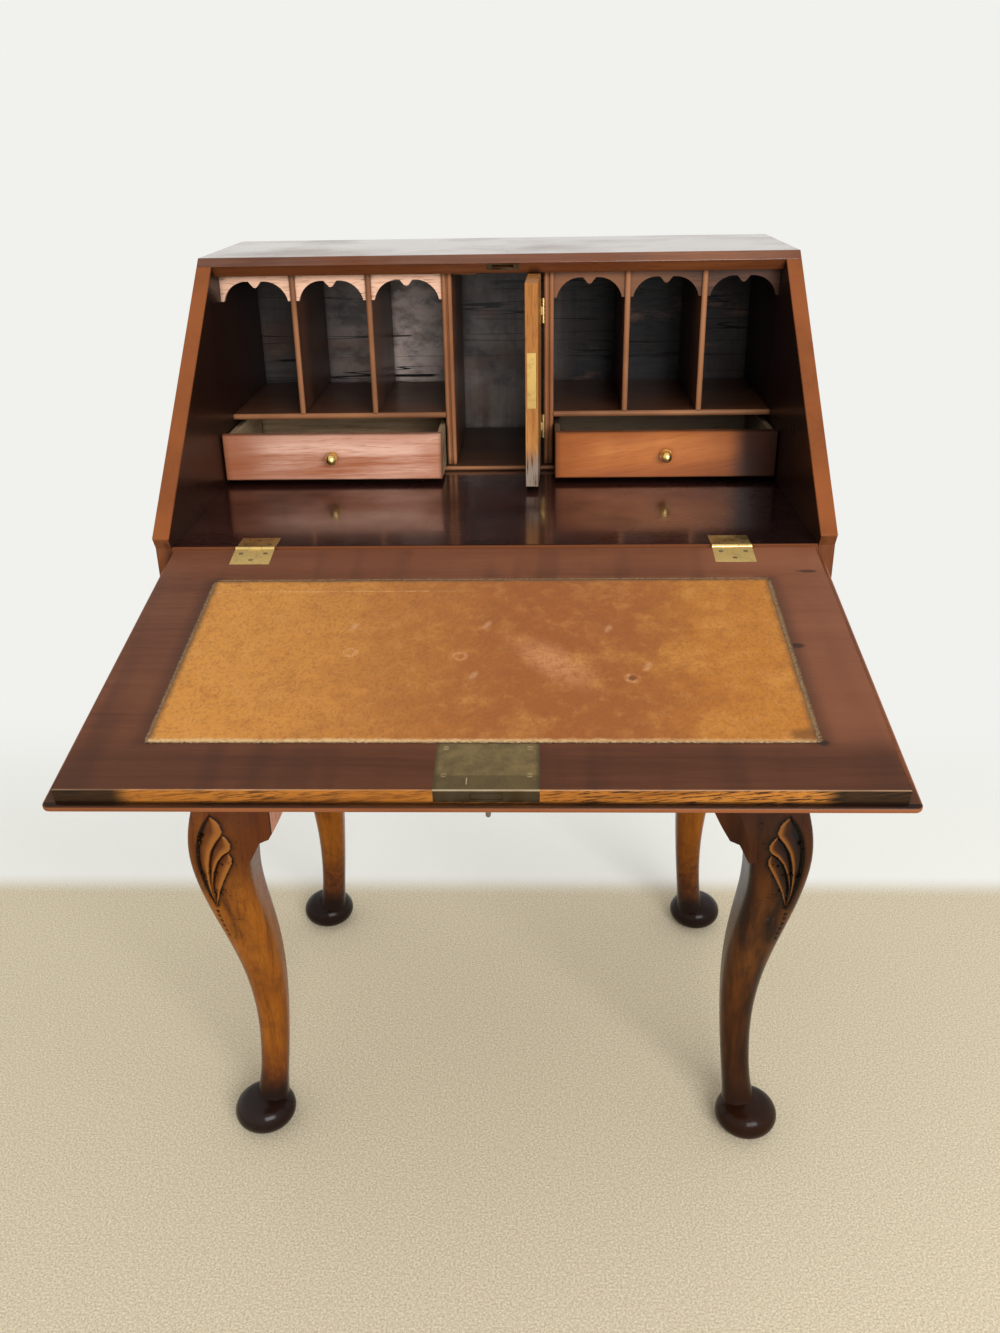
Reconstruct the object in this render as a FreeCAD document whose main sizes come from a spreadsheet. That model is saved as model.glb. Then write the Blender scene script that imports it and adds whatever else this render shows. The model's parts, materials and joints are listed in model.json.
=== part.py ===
"""Fall-front writing bureau on cabriole legs, shown open.

Millimetres, +Z up, front towards -Y. The origin lies on the floor, under the middle of the open bureau.
"""
import FreeCAD
import Part
import Sketcher
import math
import os
import re

X_AXIS = FreeCAD.Vector(1, 0, 0)
Y_AXIS = FreeCAD.Vector(0, 1, 0)
Z_AXIS = FreeCAD.Vector(0, 0, 1)
SIDES = {"left": -1, "right": 1}

doc = FreeCAD.newDocument("writing_bureau")
sheet = doc.addObject("Spreadsheet::Sheet", "dims")

# Driving sizes, in millimetres and degrees.
sizes = {
    # Case.
    "case_width": 640,
    "case_depth": 469,
    "top_depth": 203.4,
    "leg_height": 480,
    "lower_height": 275,
    "fitting_height": 210.7,
    "side_thick": 16,
    "top_thick": 19.3,
    "top_edge": 12.5,
    "bed_thick": 18,
    "bed_setback": 1,
    "bed_nose": 3,
    "back_thick": 10,
    "back_inset": 2,
    "bottom_thick": 10,
    "front_setback": 3.5,
    "nose_out": 3,
    "nose_rise": 10.6,
    "nose_drop": 1,
    # Lower front.
    "rail_thick": 20,
    "bottom_rail_height": 24,
    "frieze_height": 53,
    "stile_width": 30,
    "guide_thick": 8,
    "runner_thick": 12,
    "runner_reach": 14,
    # Lopers that carry the open fall.
    "loper_width": 18,
    "loper_height": 40,
    "loper_length": 320,
    "loper_out": 153.5,
    "loper_gap": 0.4,
    "loper_rest_gap": 0.3,
    # Cabriole legs with pad feet and ear blocks.
    "leg_stock": 56,
    "rear_leg_inset": 12.5,
    "foot_radius": 37,
    "foot_height": 40,
    "ear_length": 42,
    "ear_height": 74,
    "ear_thick": 22,
    "ear_swell": 12,
    "ear_lap": 8,
    # Fall.
    "droop_angle": 10.4,
    "knuckle_sink": 1,
    "fall_side_gap": 4.3,
    "fall_end_gap": 0.7,
    "hinge_gap": 0.6,
    "fall_nose": 2.9,
    "lip_gap": 0.2,
    "lip_side": 10,
    "lip_front": 5,
    "lip_thick": 5.5,
    "lip_round": 2.4,
    "lip_corner": 6,
    "suede_side": 53,
    "suede_back": 60,
    "suede_front": 53,
    "suede_thick": 1.6,
    "suede_inlay": 0.9,
    "suede_gap": 0.3,
    # Butt hinges of the fall.
    "hinge_inset": 80.5,
    "leaf_width": 37,
    "leaf_start": 3.4,
    "leaf_reach": 30,
    "leaf_thick": 1.4,
    "knuckle_radius": 2.5,
    "knuckle_gap": 0.3,
    "knuckle_room": 0.6,
    "pin_radius": 1.1,
    "pin_gap": 0.05,
    "screw_head": 2.3,
    "screw_shank": 1.2,
    "screw_length": 8,
    "screw_slot": 0.6,
    "screw_slot_depth": 0.7,
    "leaf_screw_spread": 11.5,
    "leaf_screw_near": 10,
    "leaf_screw_far": 22,
    # Lock, bolt, key and keep of the fall.
    "lock_width": 75,
    "lock_length": 53,
    "lock_offset": 6.5,
    "lock_plate": 1.5,
    "lock_case_width": 58,
    "lock_case_length": 40,
    "lock_case_depth": 9.5,
    "lock_screw_inset": 7,
    "lock_screw_front": 16,
    "bolt_width": 22,
    "bolt_thick": 5,
    "bolt_length": 17,
    "bolt_depth": 6,
    "bolt_throw": 8,
    "bolt_gap": 0.3,
    "keep_length": 34,
    "keep_width": 9,
    "keep_thick": 1.2,
    "keep_room": 3,
    "key_inset": 24,
    "key_radius": 2.2,
    "key_gap": 0.3,
    "key_out": 9,
    "key_bow": 8,
    "key_wire": 1.8,
    "key_bit": 6.2,
    "key_bit_thick": 2,
    "key_room": 0.8,
    "escutcheon_radius": 9,
    "escutcheon_thick": 1.2,
    # Interior fittings.
    "fit_setback": 14,
    "base_thick": 5,
    "base_out": 12,
    "drawer_opening": 53.4,
    "shelf_thick": 6.3,
    "divider_thick": 6,
    "upright_width": 11,
    "reed_quirk": 1,
    "cupboard_width": 100,
    "valance_height": 28,
    "valance_thick": 6,
    "valance_setback": 2,
    "stop_width": 26,
    "stop_height": 4,
    "stop_thick": 10,
    # Small drawers.
    "small_out": 66,
    "small_gap": 1.2,
    "small_top_gap": 2.4,
    "small_rest_gap": 0.3,
    "small_back_gap": 5,
    "small_front_thick": 9,
    "small_side_thick": 6,
    "small_side_drop": 5,
    "small_bottom_thick": 4,
    "small_bottom_raise": 2,
    "small_edge_round": 1.4,
    "small_knob_ball": 6.3,
    "small_knob_neck": 2.6,
    "small_knob_rose": 6.2,
    "small_knob_foot": 1.6,
    "small_knob_reach": 16,
    # Long drawer.
    "long_gap": 1.2,
    "long_rest_gap": 0.3,
    "long_back_gap": 12,
    "long_front_thick": 18,
    "long_side_thick": 9,
    "long_side_drop": 14,
    "long_bottom_thick": 6,
    "long_bottom_raise": 6,
    "long_edge_round": 2,
    "long_knob_spread": 160,
    "long_knob_ball": 12,
    "long_knob_neck": 5,
    "long_knob_rose": 12,
    "long_knob_foot": 2.5,
    "long_knob_reach": 28,
    # Cupboard door.
    "door_angle": 88,
    "door_thick": 13.4,
    "door_gap": 0.6,
    "door_edge_gap": 1.7,
    "door_axis_gap": 0.5,
    "door_pin_out": 2.4,
    "door_knuckle": 1.9,
    "door_pin_radius": 0.8,
    "door_leaf_height": 26,
    "door_leaf_start": 2.2,
    "door_leaf_reach": 13,
    "door_leaf_thick": 1.2,
    "door_hinge_low": 43,
    "door_hinge_high": 40,
    "door_lock_rise": 113,
    "door_lock_height": 57,
    "door_lock_width": 9.4,
    "door_lock_plate": 1.4,
    "door_lock_case": 22,
    "door_lock_case_height": 40,
    "door_lock_case_thick": 6,
    # Overrun of every cut past the face that it leaves.
    "overrun": 2,
}

# Places and sizes that follow from the driving sizes.
places = {
    "inner_half": "case_width / 2 - side_thick",
    "writing_height": "leg_height + lower_height",
    "base_top": "writing_height + base_thick",
    "top_under": "base_top + fitting_height",
    "case_height": "top_under + top_thick",
    "slope_angle": "atan((case_height - writing_height - nose_rise) / (case_depth - top_depth + nose_out))",
    "slope_lift": "nose_out * sin(slope_angle) + (nose_rise + knuckle_sink) * cos(slope_angle)",
    "slope_reach": "(case_depth - top_depth) * cos(slope_angle)"
                   " + (case_height - writing_height + knuckle_sink) * sin(slope_angle)",
    "nose_reach": "(nose_rise + knuckle_sink) * sin(slope_angle) - nose_out * cos(slope_angle)",
    "tongue_thick": "slope_lift + knuckle_sink + lip_gap",
    "tongue_under": "tongue_thick - knuckle_sink",
    "fall_under": "tongue_under + lip_thick",
    "fall_length": "slope_reach - top_edge - fall_end_gap",
    "fall_half": "inner_half - fall_side_gap",
    "lip_start": "nose_reach + lip_gap",
    "fall_reach": "(fall_length + lip_front - lip_round) * cos(droop_angle) + lip_round"
                  " - (tongue_under + lip_round) * sin(droop_angle)",
    "hinge_y": "(fall_reach - case_depth) / 2",
    "hinge_z": "writing_height - knuckle_sink",
    "hinge_x": "inner_half - hinge_inset",
    "case_front": "hinge_y + front_setback",
    "case_back": "hinge_y + case_depth",
    "back_face": "case_back - back_inset - back_thick",
    "top_front": "case_back - top_depth",
    "arris_y": "hinge_y + (slope_reach - top_edge) * cos(slope_angle) - slope_lift * sin(slope_angle)",
    "arris_z": "hinge_z + (slope_reach - top_edge) * sin(slope_angle) + slope_lift * cos(slope_angle)",
    "rebate_y": "arris_y + (arris_z - top_under) * tan(slope_angle)",
    "bed_under": "writing_height - bed_thick",
    "rail_top": "leg_height + bottom_rail_height",
    "rail_back": "case_front + rail_thick",
    "frieze_under": "bed_under - frieze_height",
    "bay_half": "inner_half - stile_width",
    "loper_in": "bay_half + guide_thick + loper_gap",
    "loper_top": "hinge_z - (loper_out - front_setback) * tan(droop_angle) - fall_under / cos(droop_angle)"
                 " - loper_rest_gap",
    "loper_under": "loper_top - loper_height",
    "fit_front": "top_front + fit_setback",
    "shelf_under": "base_top + drawer_opening",
    "shelf_top": "shelf_under + shelf_thick",
    "upright_in": "cupboard_width / 2",
    "upright_out": "upright_in + upright_width",
    "bay_width": "(inner_half - upright_out - 2 * divider_thick) / 3",
    "bolt_z": "knuckle_sink - bolt_depth",
    "key_y": "key_inset - fall_length",
    "door_axis_x": "upright_in - door_axis_gap",
    "door_axis_y": "fit_front - door_pin_out",
    "door_width": "cupboard_width - 2 * door_axis_gap - door_edge_gap",
    "door_low": "base_top + door_gap",
    "door_high": "top_under - door_gap",
}

names = list(sizes) + list(places)
for row, name in enumerate(names, 1):
    formula = "=" + places[name] if name in places else str(sizes[name])
    sheet.set(f"A{row}", name)
    sheet.set(f"B{row}", formula)
    sheet.setAlias(f"B{row}", name)
doc.recompute()

# Shares that shape the outlines.
nose_share = 0.55
reed_share = 0.52
valance_shares = {"tip": 0.04, "apex": 0.09, "apex_drop": 0.26, "drop": 0.035, "drop_low": 0.44,
                  "drop_round": 1.2, "arch": 0.34}
ear_shares = {"tip": 0.11, "mid_out": 0.464, "mid_low": 0.71, "step_out": 0.24, "step_low": 0.743,
              "edge_curve": 3.5, "swell_curve": 3.2, "plan_curve": 1.7}

# Leg sections: height as a share of the leg, then the middle's distance from the case corner,
# the half width and the corner rounding, the first two as shares of the stock.
leg_shares = (
    (1.000, 0.500, 0.500, 0.12),
    (0.948, 0.430, 0.545, 0.20),
    (0.871, 0.375, 0.589, 0.30),
    (0.775, 0.384, 0.545, 0.40),
    (0.648, 0.536, 0.500, 0.55),
    (0.515, 0.705, 0.436, 0.70),
    (0.350, 0.786, 0.339, 0.82),
    (0.194, 0.732, 0.298, 0.88),
    (0.104, 0.648, 0.314, 0.88),
    (0.074, 0.600, 0.352, 0.88),
    (0.053, 0.535, 0.440, 0.88),
)
foot_middle_share = 0.446
# Foot outline: radius and height, as shares of the foot's own.
foot_shares = {
    "pad": 0.62,
    "low": (0.90, 0.16),
    "rim": (1.0, 0.42),
    "high": (0.90, 0.70),
    "neck": (0.60, 0.90),
}

finished = []


def bound(text):
    """Turns a formula in plain names into one that points at the sheet."""
    return re.sub(r"[a-z]\w*", lambda word: f"dims.{word[0]}" if word[0] in names else word[0], text)


def value(text):
    """Works a formula out as a number."""
    result = sheet.evalExpression(bound(text))
    return float(getattr(result, "Value", result))


# A frame is a base point, a turning axis and an angle.
HINGE = (("0", "hinge_y", "hinge_z"), X_AXIS, "0")
FALL = (("0", "hinge_y", "hinge_z"), X_AXIS, "droop_angle")
SHUT = (("0", "hinge_y", "hinge_z"), X_AXIS, "180 deg + slope_angle")
DOOR = (("door_axis_x", "door_axis_y", "0"), Z_AXIS, "door_angle")


def place(piece, spot, axis=Z_AXIS, angle="0"):
    """Puts a piece at a bound point, turned by a bound angle."""
    piece.Placement = FreeCAD.Placement(FreeCAD.Vector(), FreeCAD.Rotation(axis, value(angle)))
    for letter, text in zip("xyz", spot):
        piece.setExpression(f"Placement.Base.{letter}", bound(text))
    if angle != "0":
        piece.setExpression("Placement.Rotation.Angle", bound(angle))
    return piece


def carry(piece, frame):
    """Puts a piece that is modelled in a frame's own coordinates where the frame stands."""
    return place(piece, *frame)


def lifted(height):
    """The fall's frame, raised square to its face by a bound height."""
    spot = ("0", f"hinge_y - ({height}) * sin(droop_angle)", f"hinge_z + ({height}) * cos(droop_angle)")
    return spot, X_AXIS, "droop_angle"


def keep(piece, label):
    """Lists a finished sub-part under its name."""
    piece.Label = label
    finished.append(piece)
    return piece


def board(name, x, y, z):
    """A plain board between bound low and high faces."""
    piece = doc.addObject("Part::Box", name)
    for side, (low, high) in zip(("Length", "Width", "Height"), (x, y, z)):
        piece.setExpression(side, bound(f"({high}) - ({low})"))
    return place(piece, (x[0], y[0], z[0]))


def rod(name, radius, length, spot, axis=Z_AXIS, angle="0"):
    """A round rod that starts at a bound point and runs along Z, or along the turned Z."""
    piece = doc.addObject("Part::Cylinder", name)
    piece.setExpression("Radius", bound(radius))
    piece.setExpression("Height", bound(length))
    return place(piece, spot, axis, angle)


def group(name, pieces):
    """Separate solids under one name."""
    piece = doc.addObject("Part::Compound", name)
    piece.Links = pieces
    return piece


def fuse(name, pieces):
    """Solids joined into one."""
    piece = doc.addObject("Part::MultiFuse", name)
    piece.Shapes = pieces
    piece.Refine = True
    return piece


def cut(name, blank, tools):
    """A blank with the tools taken away."""
    piece = doc.addObject("Part::Cut", name)
    piece.Base = blank
    piece.Tool = tools[0] if len(tools) == 1 else fuse(f"{name}_tools", tools)
    piece.Refine = True
    return piece


def draw(body, plane, outline):
    """Draws a closed outline. A corner is (u, v), or (u, v, radius, turn) where an arc starts there:
    turn is 1 for an arc that bends left on its way and -1 for one that bends right."""
    sketch = body.newObject("Sketcher::SketchObject", f"{body.Name}_sketch")
    support = next(part for part in body.Origin.OriginFeatures if part.Role == plane)
    sketch.AttachmentSupport = [(support, "")]
    sketch.MapMode = "FlatFace"
    corners = [FreeCAD.Vector(value(corner[0]), value(corner[1]), 0) for corner in outline]
    ends = []
    for index, corner in enumerate(outline):
        start, stop = corners[index], corners[(index + 1) % len(corners)]
        if len(corner) == 2:
            edge = sketch.addGeometry(Part.LineSegment(start, stop))
            ends.append((edge, 1, 2))
            continue
        radius, turn = value(corner[2]), corner[3]
        chord = stop - start
        left = FreeCAD.Vector(-chord.y, chord.x, 0).normalize()
        centre = (start + stop) / 2 + left * turn * math.sqrt(radius ** 2 - chord.Length ** 2 / 4)
        first, last = (start - centre, stop - centre)[::turn]
        angles = [math.atan2(ray.y, ray.x) for ray in (first, last)]
        edge = sketch.addGeometry(Part.ArcOfCircle(Part.Circle(centre, Z_AXIS, radius), *angles))
        limit = sketch.addConstraint(Sketcher.Constraint("Radius", edge, radius))
        sketch.setExpression(f"Constraints[{limit}]", bound(corner[2]))
        ends.append((edge, *(1, 2)[::turn]))
    for index, (edge, head, tail) in enumerate(ends):
        after, after_head, _ = ends[(index + 1) % len(ends)]
        sketch.addConstraint(Sketcher.Constraint("Coincident", edge, tail, after, after_head))
        for kind, text in zip(("DistanceX", "DistanceY"), outline[index]):
            limit = sketch.addConstraint(Sketcher.Constraint(kind, -1, 1, edge, head, value(text)))
            sketch.setExpression(f"Constraints[{limit}]", bound(text))
    return sketch


def padded(name, plane, outline, depth, reverse=False):
    """An outline given a bound thickness."""
    body = doc.addObject("PartDesign::Body", name)
    pad = body.newObject("PartDesign::Pad", f"{name}_pad")
    pad.Profile = draw(body, plane, outline)
    pad.setExpression("Length", bound(depth))
    pad.Reversed = reverse
    body.Tip = pad
    return body


def turned(name, outline):
    """An outline turned about the upright axis, as on a lathe."""
    body = doc.addObject("PartDesign::Body", name)
    sketch = draw(body, "XZ_Plane", outline)
    lathe = body.newObject("PartDesign::Revolution", f"{name}_lathe")
    lathe.Profile = sketch
    lathe.ReferenceAxis = (sketch, ["V_Axis"])
    body.Tip = lathe
    return body


def rounded(body, radius, wanted):
    """Rounds those edges of a body that the test picks."""
    doc.recompute()
    base = body.Tip
    picked = [f"Edge{count}" for count, edge in enumerate(base.Shape.Edges, 1) if wanted(edge)]
    fillet = body.newObject("PartDesign::Fillet", f"{body.Name}_round")
    fillet.Base = (base, picked)
    fillet.setExpression("Radius", bound(radius))
    body.Tip = fillet
    return body


def lies_at(edge, letter, text):
    """True where both ends of an edge lie at a bound coordinate."""
    return all(abs(getattr(end.Point, letter) - value(text)) < Part.Precision.confusion() * 10
               for end in edge.Vertexes)


def mirrored(low, high, side):
    """A span on the right, or its mirror on the left."""
    return (low, high) if side > 0 else (f"-({high})", f"-({low})")


def case_sides():
    """Two boards with the slope, its small undercut nose and the notch for the top's edge."""
    outline = [
        ("case_front", "leg_height"),
        ("case_back", "leg_height"),
        ("case_back", "top_under"),
        ("rebate_y", "top_under"),
        ("arris_y", "arris_z"),
        ("hinge_y - nose_out", "writing_height + nose_rise"),
        ("case_front", "writing_height - nose_drop"),
    ]
    for hand, side in SIDES.items():
        body = padded(f"side_{hand}", "YZ_Plane", outline, "side_thick")
        keep(place(body, (mirrored("inner_half", "case_width / 2", side)[0], "0", "0")), f"side_{hand}")


def top():
    """Board whose front edge follows the slope, rebated for the fall and mortised for its bolt."""
    outline = [
        ("rebate_y", "top_under"),
        ("case_back", "top_under"),
        ("case_back", "case_height"),
        ("top_front", "case_height"),
        ("arris_y", "arris_z"),
    ]
    body = padded("top_blank", "YZ_Plane", outline, "case_width")
    place(body, ("-case_width / 2", "0", "0"))
    seat = "-(fall_length + fall_end_gap)"
    middle = "lock_offset"
    across = (f"{middle} - keep_length / 2", f"{middle} + keep_length / 2")
    upright = ("bolt_z - keep_width / 2", "bolt_z + keep_width / 2")
    slot_x = (f"{middle} - bolt_width / 2 - bolt_gap", f"{middle} + bolt_width / 2 + bolt_gap")
    slot_z = ("bolt_z - bolt_thick / 2 - bolt_gap", "bolt_z + bolt_thick / 2 + bolt_gap")
    recess = board("keep_recess", across, (f"{seat} - keep_thick", f"{seat} + overrun"), upright)
    mortise = board("bolt_mortise", slot_x, (f"{seat} - bolt_throw - keep_room", f"{seat} + overrun"), slot_z)
    tools = carry(group("top_tools", [recess, mortise]), SHUT)
    keep(cut("top_board", body, [tools]), "top_board")
    plate = board("keep_blank", across, (f"{seat} - keep_thick", seat), upright)
    slot = board("keep_slot", slot_x, (f"{seat} - keep_thick - overrun", f"{seat} + overrun"), slot_z)
    keep(carry(cut("lock_keep", plate, [slot]), SHUT), "lock_keep")


def back():
    """Three planks laid edge to edge between the sides."""
    count = 3
    height = f"(top_under - leg_height) / {count}"
    planks = [board(f"back_board_{index}", ("-inner_half", "inner_half"),
                    ("back_face", "back_face + back_thick"),
                    (f"leg_height + {index} * {height}", f"leg_height + {index + 1} * {height}"))
              for index in range(count)]
    keep(group("back_boards", planks), "back_boards")


def lower_front():
    """Bottom, rails, stiles with the loper slots, and the boards that guide the drawer and lopers."""
    keep(board("case_bottom", ("-inner_half", "inner_half"), ("rail_back", "back_face"),
               ("leg_height", "leg_height + bottom_thick")), "case_bottom")
    keep(board("bottom_rail", ("-inner_half", "inner_half"), ("case_front", "rail_back"),
               ("leg_height", "rail_top")), "bottom_rail")
    keep(board("frieze_rail", ("-bay_half", "bay_half"), ("case_front", "rail_back"),
               ("frieze_under", "bed_under")), "frieze_rail")
    stiles, guides, bearers, kickers, runners = [], [], [], [], []
    depth = ("rail_back", "back_face")
    slot_z = ("loper_under - loper_gap", "loper_top + loper_rest_gap")
    for hand, side in SIDES.items():
        across = mirrored("bay_half", "inner_half", side)
        loper_bay = mirrored("bay_half + guide_thick", "inner_half", side)
        slot_x = mirrored("loper_in - loper_gap", "loper_in + loper_width + loper_gap", side)
        blank = board(f"stile_blank_{hand}", across, ("case_front", "rail_back"), ("rail_top", "bed_under"))
        slot = board(f"loper_slot_{hand}", slot_x, ("case_front - overrun", "rail_back + overrun"), slot_z)
        stiles.append(cut(f"stile_{hand}", blank, [slot]))
        guides.append(board(f"guide_{hand}", mirrored("bay_half", "bay_half + guide_thick", side), depth,
                            ("rail_top", "bed_under")))
        bearers.append(board(f"loper_runner_{hand}", loper_bay, depth,
                             (f"{slot_z[0]} - runner_thick", slot_z[0])))
        kickers.append(board(f"loper_kicker_{hand}", loper_bay, depth, (slot_z[1], "bed_under")))
        runners.append(board(f"drawer_runner_{hand}", mirrored("bay_half - runner_reach", "inner_half", side),
                             depth, ("leg_height + bottom_thick", "rail_top")))
    for name, pieces in (("front_stiles", stiles), ("guide_boards", guides), ("loper_runners", bearers),
                         ("loper_kickers", kickers), ("drawer_runners", runners)):
        keep(group(name, pieces), name)


def lopers():
    """Two bars that slide out of the stiles and carry the open fall on their front ends."""
    for hand, side in SIDES.items():
        keep(board(f"loper_{hand}", mirrored("loper_in", "loper_in + loper_width", side),
                   ("case_front - loper_out", "case_front - loper_out + loper_length"),
                   ("loper_under", "loper_top")), f"loper_{hand}")


def leg_section(height, middle, half, corner):
    """One rounded square across the leg, its middle the same distance in from both case faces."""
    low, high = middle - half, middle + half
    radius = half * corner
    bend = radius * (1 - math.sqrt(0.5))
    near, far = low + radius, high - radius
    corners = (
        ((far, low), (high - bend, low + bend), (high, near)),
        ((high, far), (high - bend, high - bend), (far, high)),
        ((near, high), (low + bend, high - bend), (low, far)),
        ((low, near), (low + bend, low + bend), (near, low)),
    )
    edges = []
    before = FreeCAD.Vector(near, low, height)
    for points in corners:
        start, through, stop = (FreeCAD.Vector(u, v, height) for u, v in points)
        edges.append(Part.LineSegment(before, start).toShape())
        edges.append(Part.Arc(start, through, stop).toShape())
        before = stop
    return Part.Wire(edges)


def pad_foot():
    """The turned pad that the leg stands on."""
    radius, height = value("foot_radius"), value("foot_height")
    middle = value("leg_stock") * foot_middle_share

    def point(share):
        return FreeCAD.Vector(middle + radius * share[0], middle, height * share[1])

    base, crown = point((0, 0)), point((0, 1))
    pad = point((foot_shares["pad"], 0))
    low, rim, high, neck = (point(foot_shares[name]) for name in ("low", "rim", "high", "neck"))
    edges = [
        Part.LineSegment(base, pad).toShape(),
        Part.Arc(pad, low, rim).toShape(),
        Part.Arc(rim, high, neck).toShape(),
        Part.LineSegment(neck, crown).toShape(),
        Part.LineSegment(crown, base).toShape(),
    ]
    return Part.Face(Part.Wire(edges)).revolve(base, Z_AXIS, 360)


def ear(way, leg):
    """Glued block that carries the knee's swell on under the case, scribed to the leg. It is where three
    outlines meet: the curve of its lower edge, the knee's own profile, and a plan that thins to the tip."""
    share = ear_shares
    lower = [
        ("-ear_lap", "0"),
        ("-ear_lap", "-ear_height"),
        ("0", "-ear_height"),
        (f"ear_length * {share['step_out']}", f"-ear_height * {share['step_low']}"),
        (f"ear_length * {share['mid_out']}", f"-ear_height * {share['mid_low']}",
         f"ear_height * {share['edge_curve']}", 1),
        ("ear_length", f"-ear_height * {share['tip']}"),
        ("ear_length", "0"),
    ]
    knee = [
        ("0", "0", f"ear_height * {share['swell_curve']}", 1),
        ("-ear_swell", "-ear_height"),
        ("ear_thick", "-ear_height"),
        ("ear_thick", "0"),
    ]
    plan = [
        ("-ear_lap", "-ear_swell"),
        ("0", "-ear_swell", f"ear_length * {share['plan_curve']}", -1),
        ("ear_length", "0"),
        ("ear_length", "ear_thick"),
        ("-ear_lap", "ear_thick"),
    ]
    front = padded(f"ear_lower_{way}", "XZ_Plane", lower, "ear_thick + ear_swell", True)
    profile = padded(f"ear_knee_{way}", "YZ_Plane", knee, "ear_lap + ear_length")
    above = padded(f"ear_plan_{way}", "XY_Plane", plan, "ear_height")
    place(front, ("0", "-ear_swell", "0"))
    place(profile, ("-ear_lap", "0", "0"))
    place(above, ("0", "0", "-ear_height"))
    blank = doc.addObject("Part::MultiCommon", f"ear_blank_{way}")
    blank.Shapes = [front, profile, above]
    if way == "x":
        return cut(f"ear_{way}", place(blank, ("leg_stock", "0", "leg_height")), [leg])
    mirror = doc.addObject("Part::Mirroring", f"ear_mirror_{way}")
    mirror.Source = blank
    mirror.Normal = FreeCAD.Vector(1, -1, 0)
    return cut(f"ear_{way}", place(mirror, ("0", "leg_stock", "leg_height")), [leg])


def legs():
    """Four cabriole legs, the same leg turned to each corner, and the ear blocks beside their knees."""
    height, stock = value("leg_height"), value("leg_stock")
    wires = [leg_section(height * tall, stock * middle, stock * half, corner)
             for tall, middle, half, corner in leg_shares]
    shape = Part.makeLoft(wires, True).fuse(pad_foot()).removeSplitter()
    corners = {
        "front_left": ("-case_width / 2", "case_front", "0"),
        "front_right": ("case_width / 2", "case_front", "90"),
        "rear_right": ("case_width / 2 - rear_leg_inset", "case_back - rear_leg_inset", "180"),
        "rear_left": ("rear_leg_inset - case_width / 2", "case_back - rear_leg_inset", "270"),
    }
    # In a leg's own turned frame, an ear runs along +X, and its mirror image along +Y.
    ears_of = {"front_left": "xy", "front_right": "xy", "rear_right": "y", "rear_left": "x"}
    pattern = doc.addObject("Part::Feature", "leg_pattern")
    pattern.Shape = shape
    blocks = {way: ear(way, pattern) for way in "xy"}
    ears = []
    for corner, (x, y, angle) in corners.items():
        leg = doc.addObject("Part::Feature", f"leg_{corner}")
        leg.Shape = shape
        keep(place(leg, (x, y, "0"), Z_AXIS, angle), f"leg_{corner}")
        for way in ears_of[corner]:
            ears.append(place(group(f"ear_{corner}_{way}", [blocks[way]]), (x, y, "0"), Z_AXIS, angle))
    keep(group("leg_ears", ears), "leg_ears")


def screws(name, spots):
    """Countersunk screws, their heads flush at the given points: the plain forms, then the slotted screws."""
    plain, slotted = [], []
    for index, (x, y) in enumerate(spots):
        head = doc.addObject("Part::Cone", f"{name}_head_{index}")
        head.setExpression("Radius1", bound("screw_shank"))
        head.setExpression("Radius2", bound("screw_head"))
        head.setExpression("Height", bound("leaf_thick"))
        place(head, (x, y, "knuckle_sink - leaf_thick"))
        shank = rod(f"{name}_shank_{index}", "screw_shank", "screw_length - leaf_thick",
                    (x, y, "knuckle_sink - screw_length"))
        plain.append(fuse(f"{name}_plain_{index}", [shank, head]))
        slot = board(f"{name}_slot_{index}", (f"{x} - screw_head - overrun", f"{x} + screw_head + overrun"),
                     (f"{y} - screw_slot / 2", f"{y} + screw_slot / 2"),
                     ("knuckle_sink - screw_slot_depth", "knuckle_sink + overrun"))
        slotted.append(cut(f"{name}_{index}", plain[-1], [slot]))
    return plain, slotted


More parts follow.
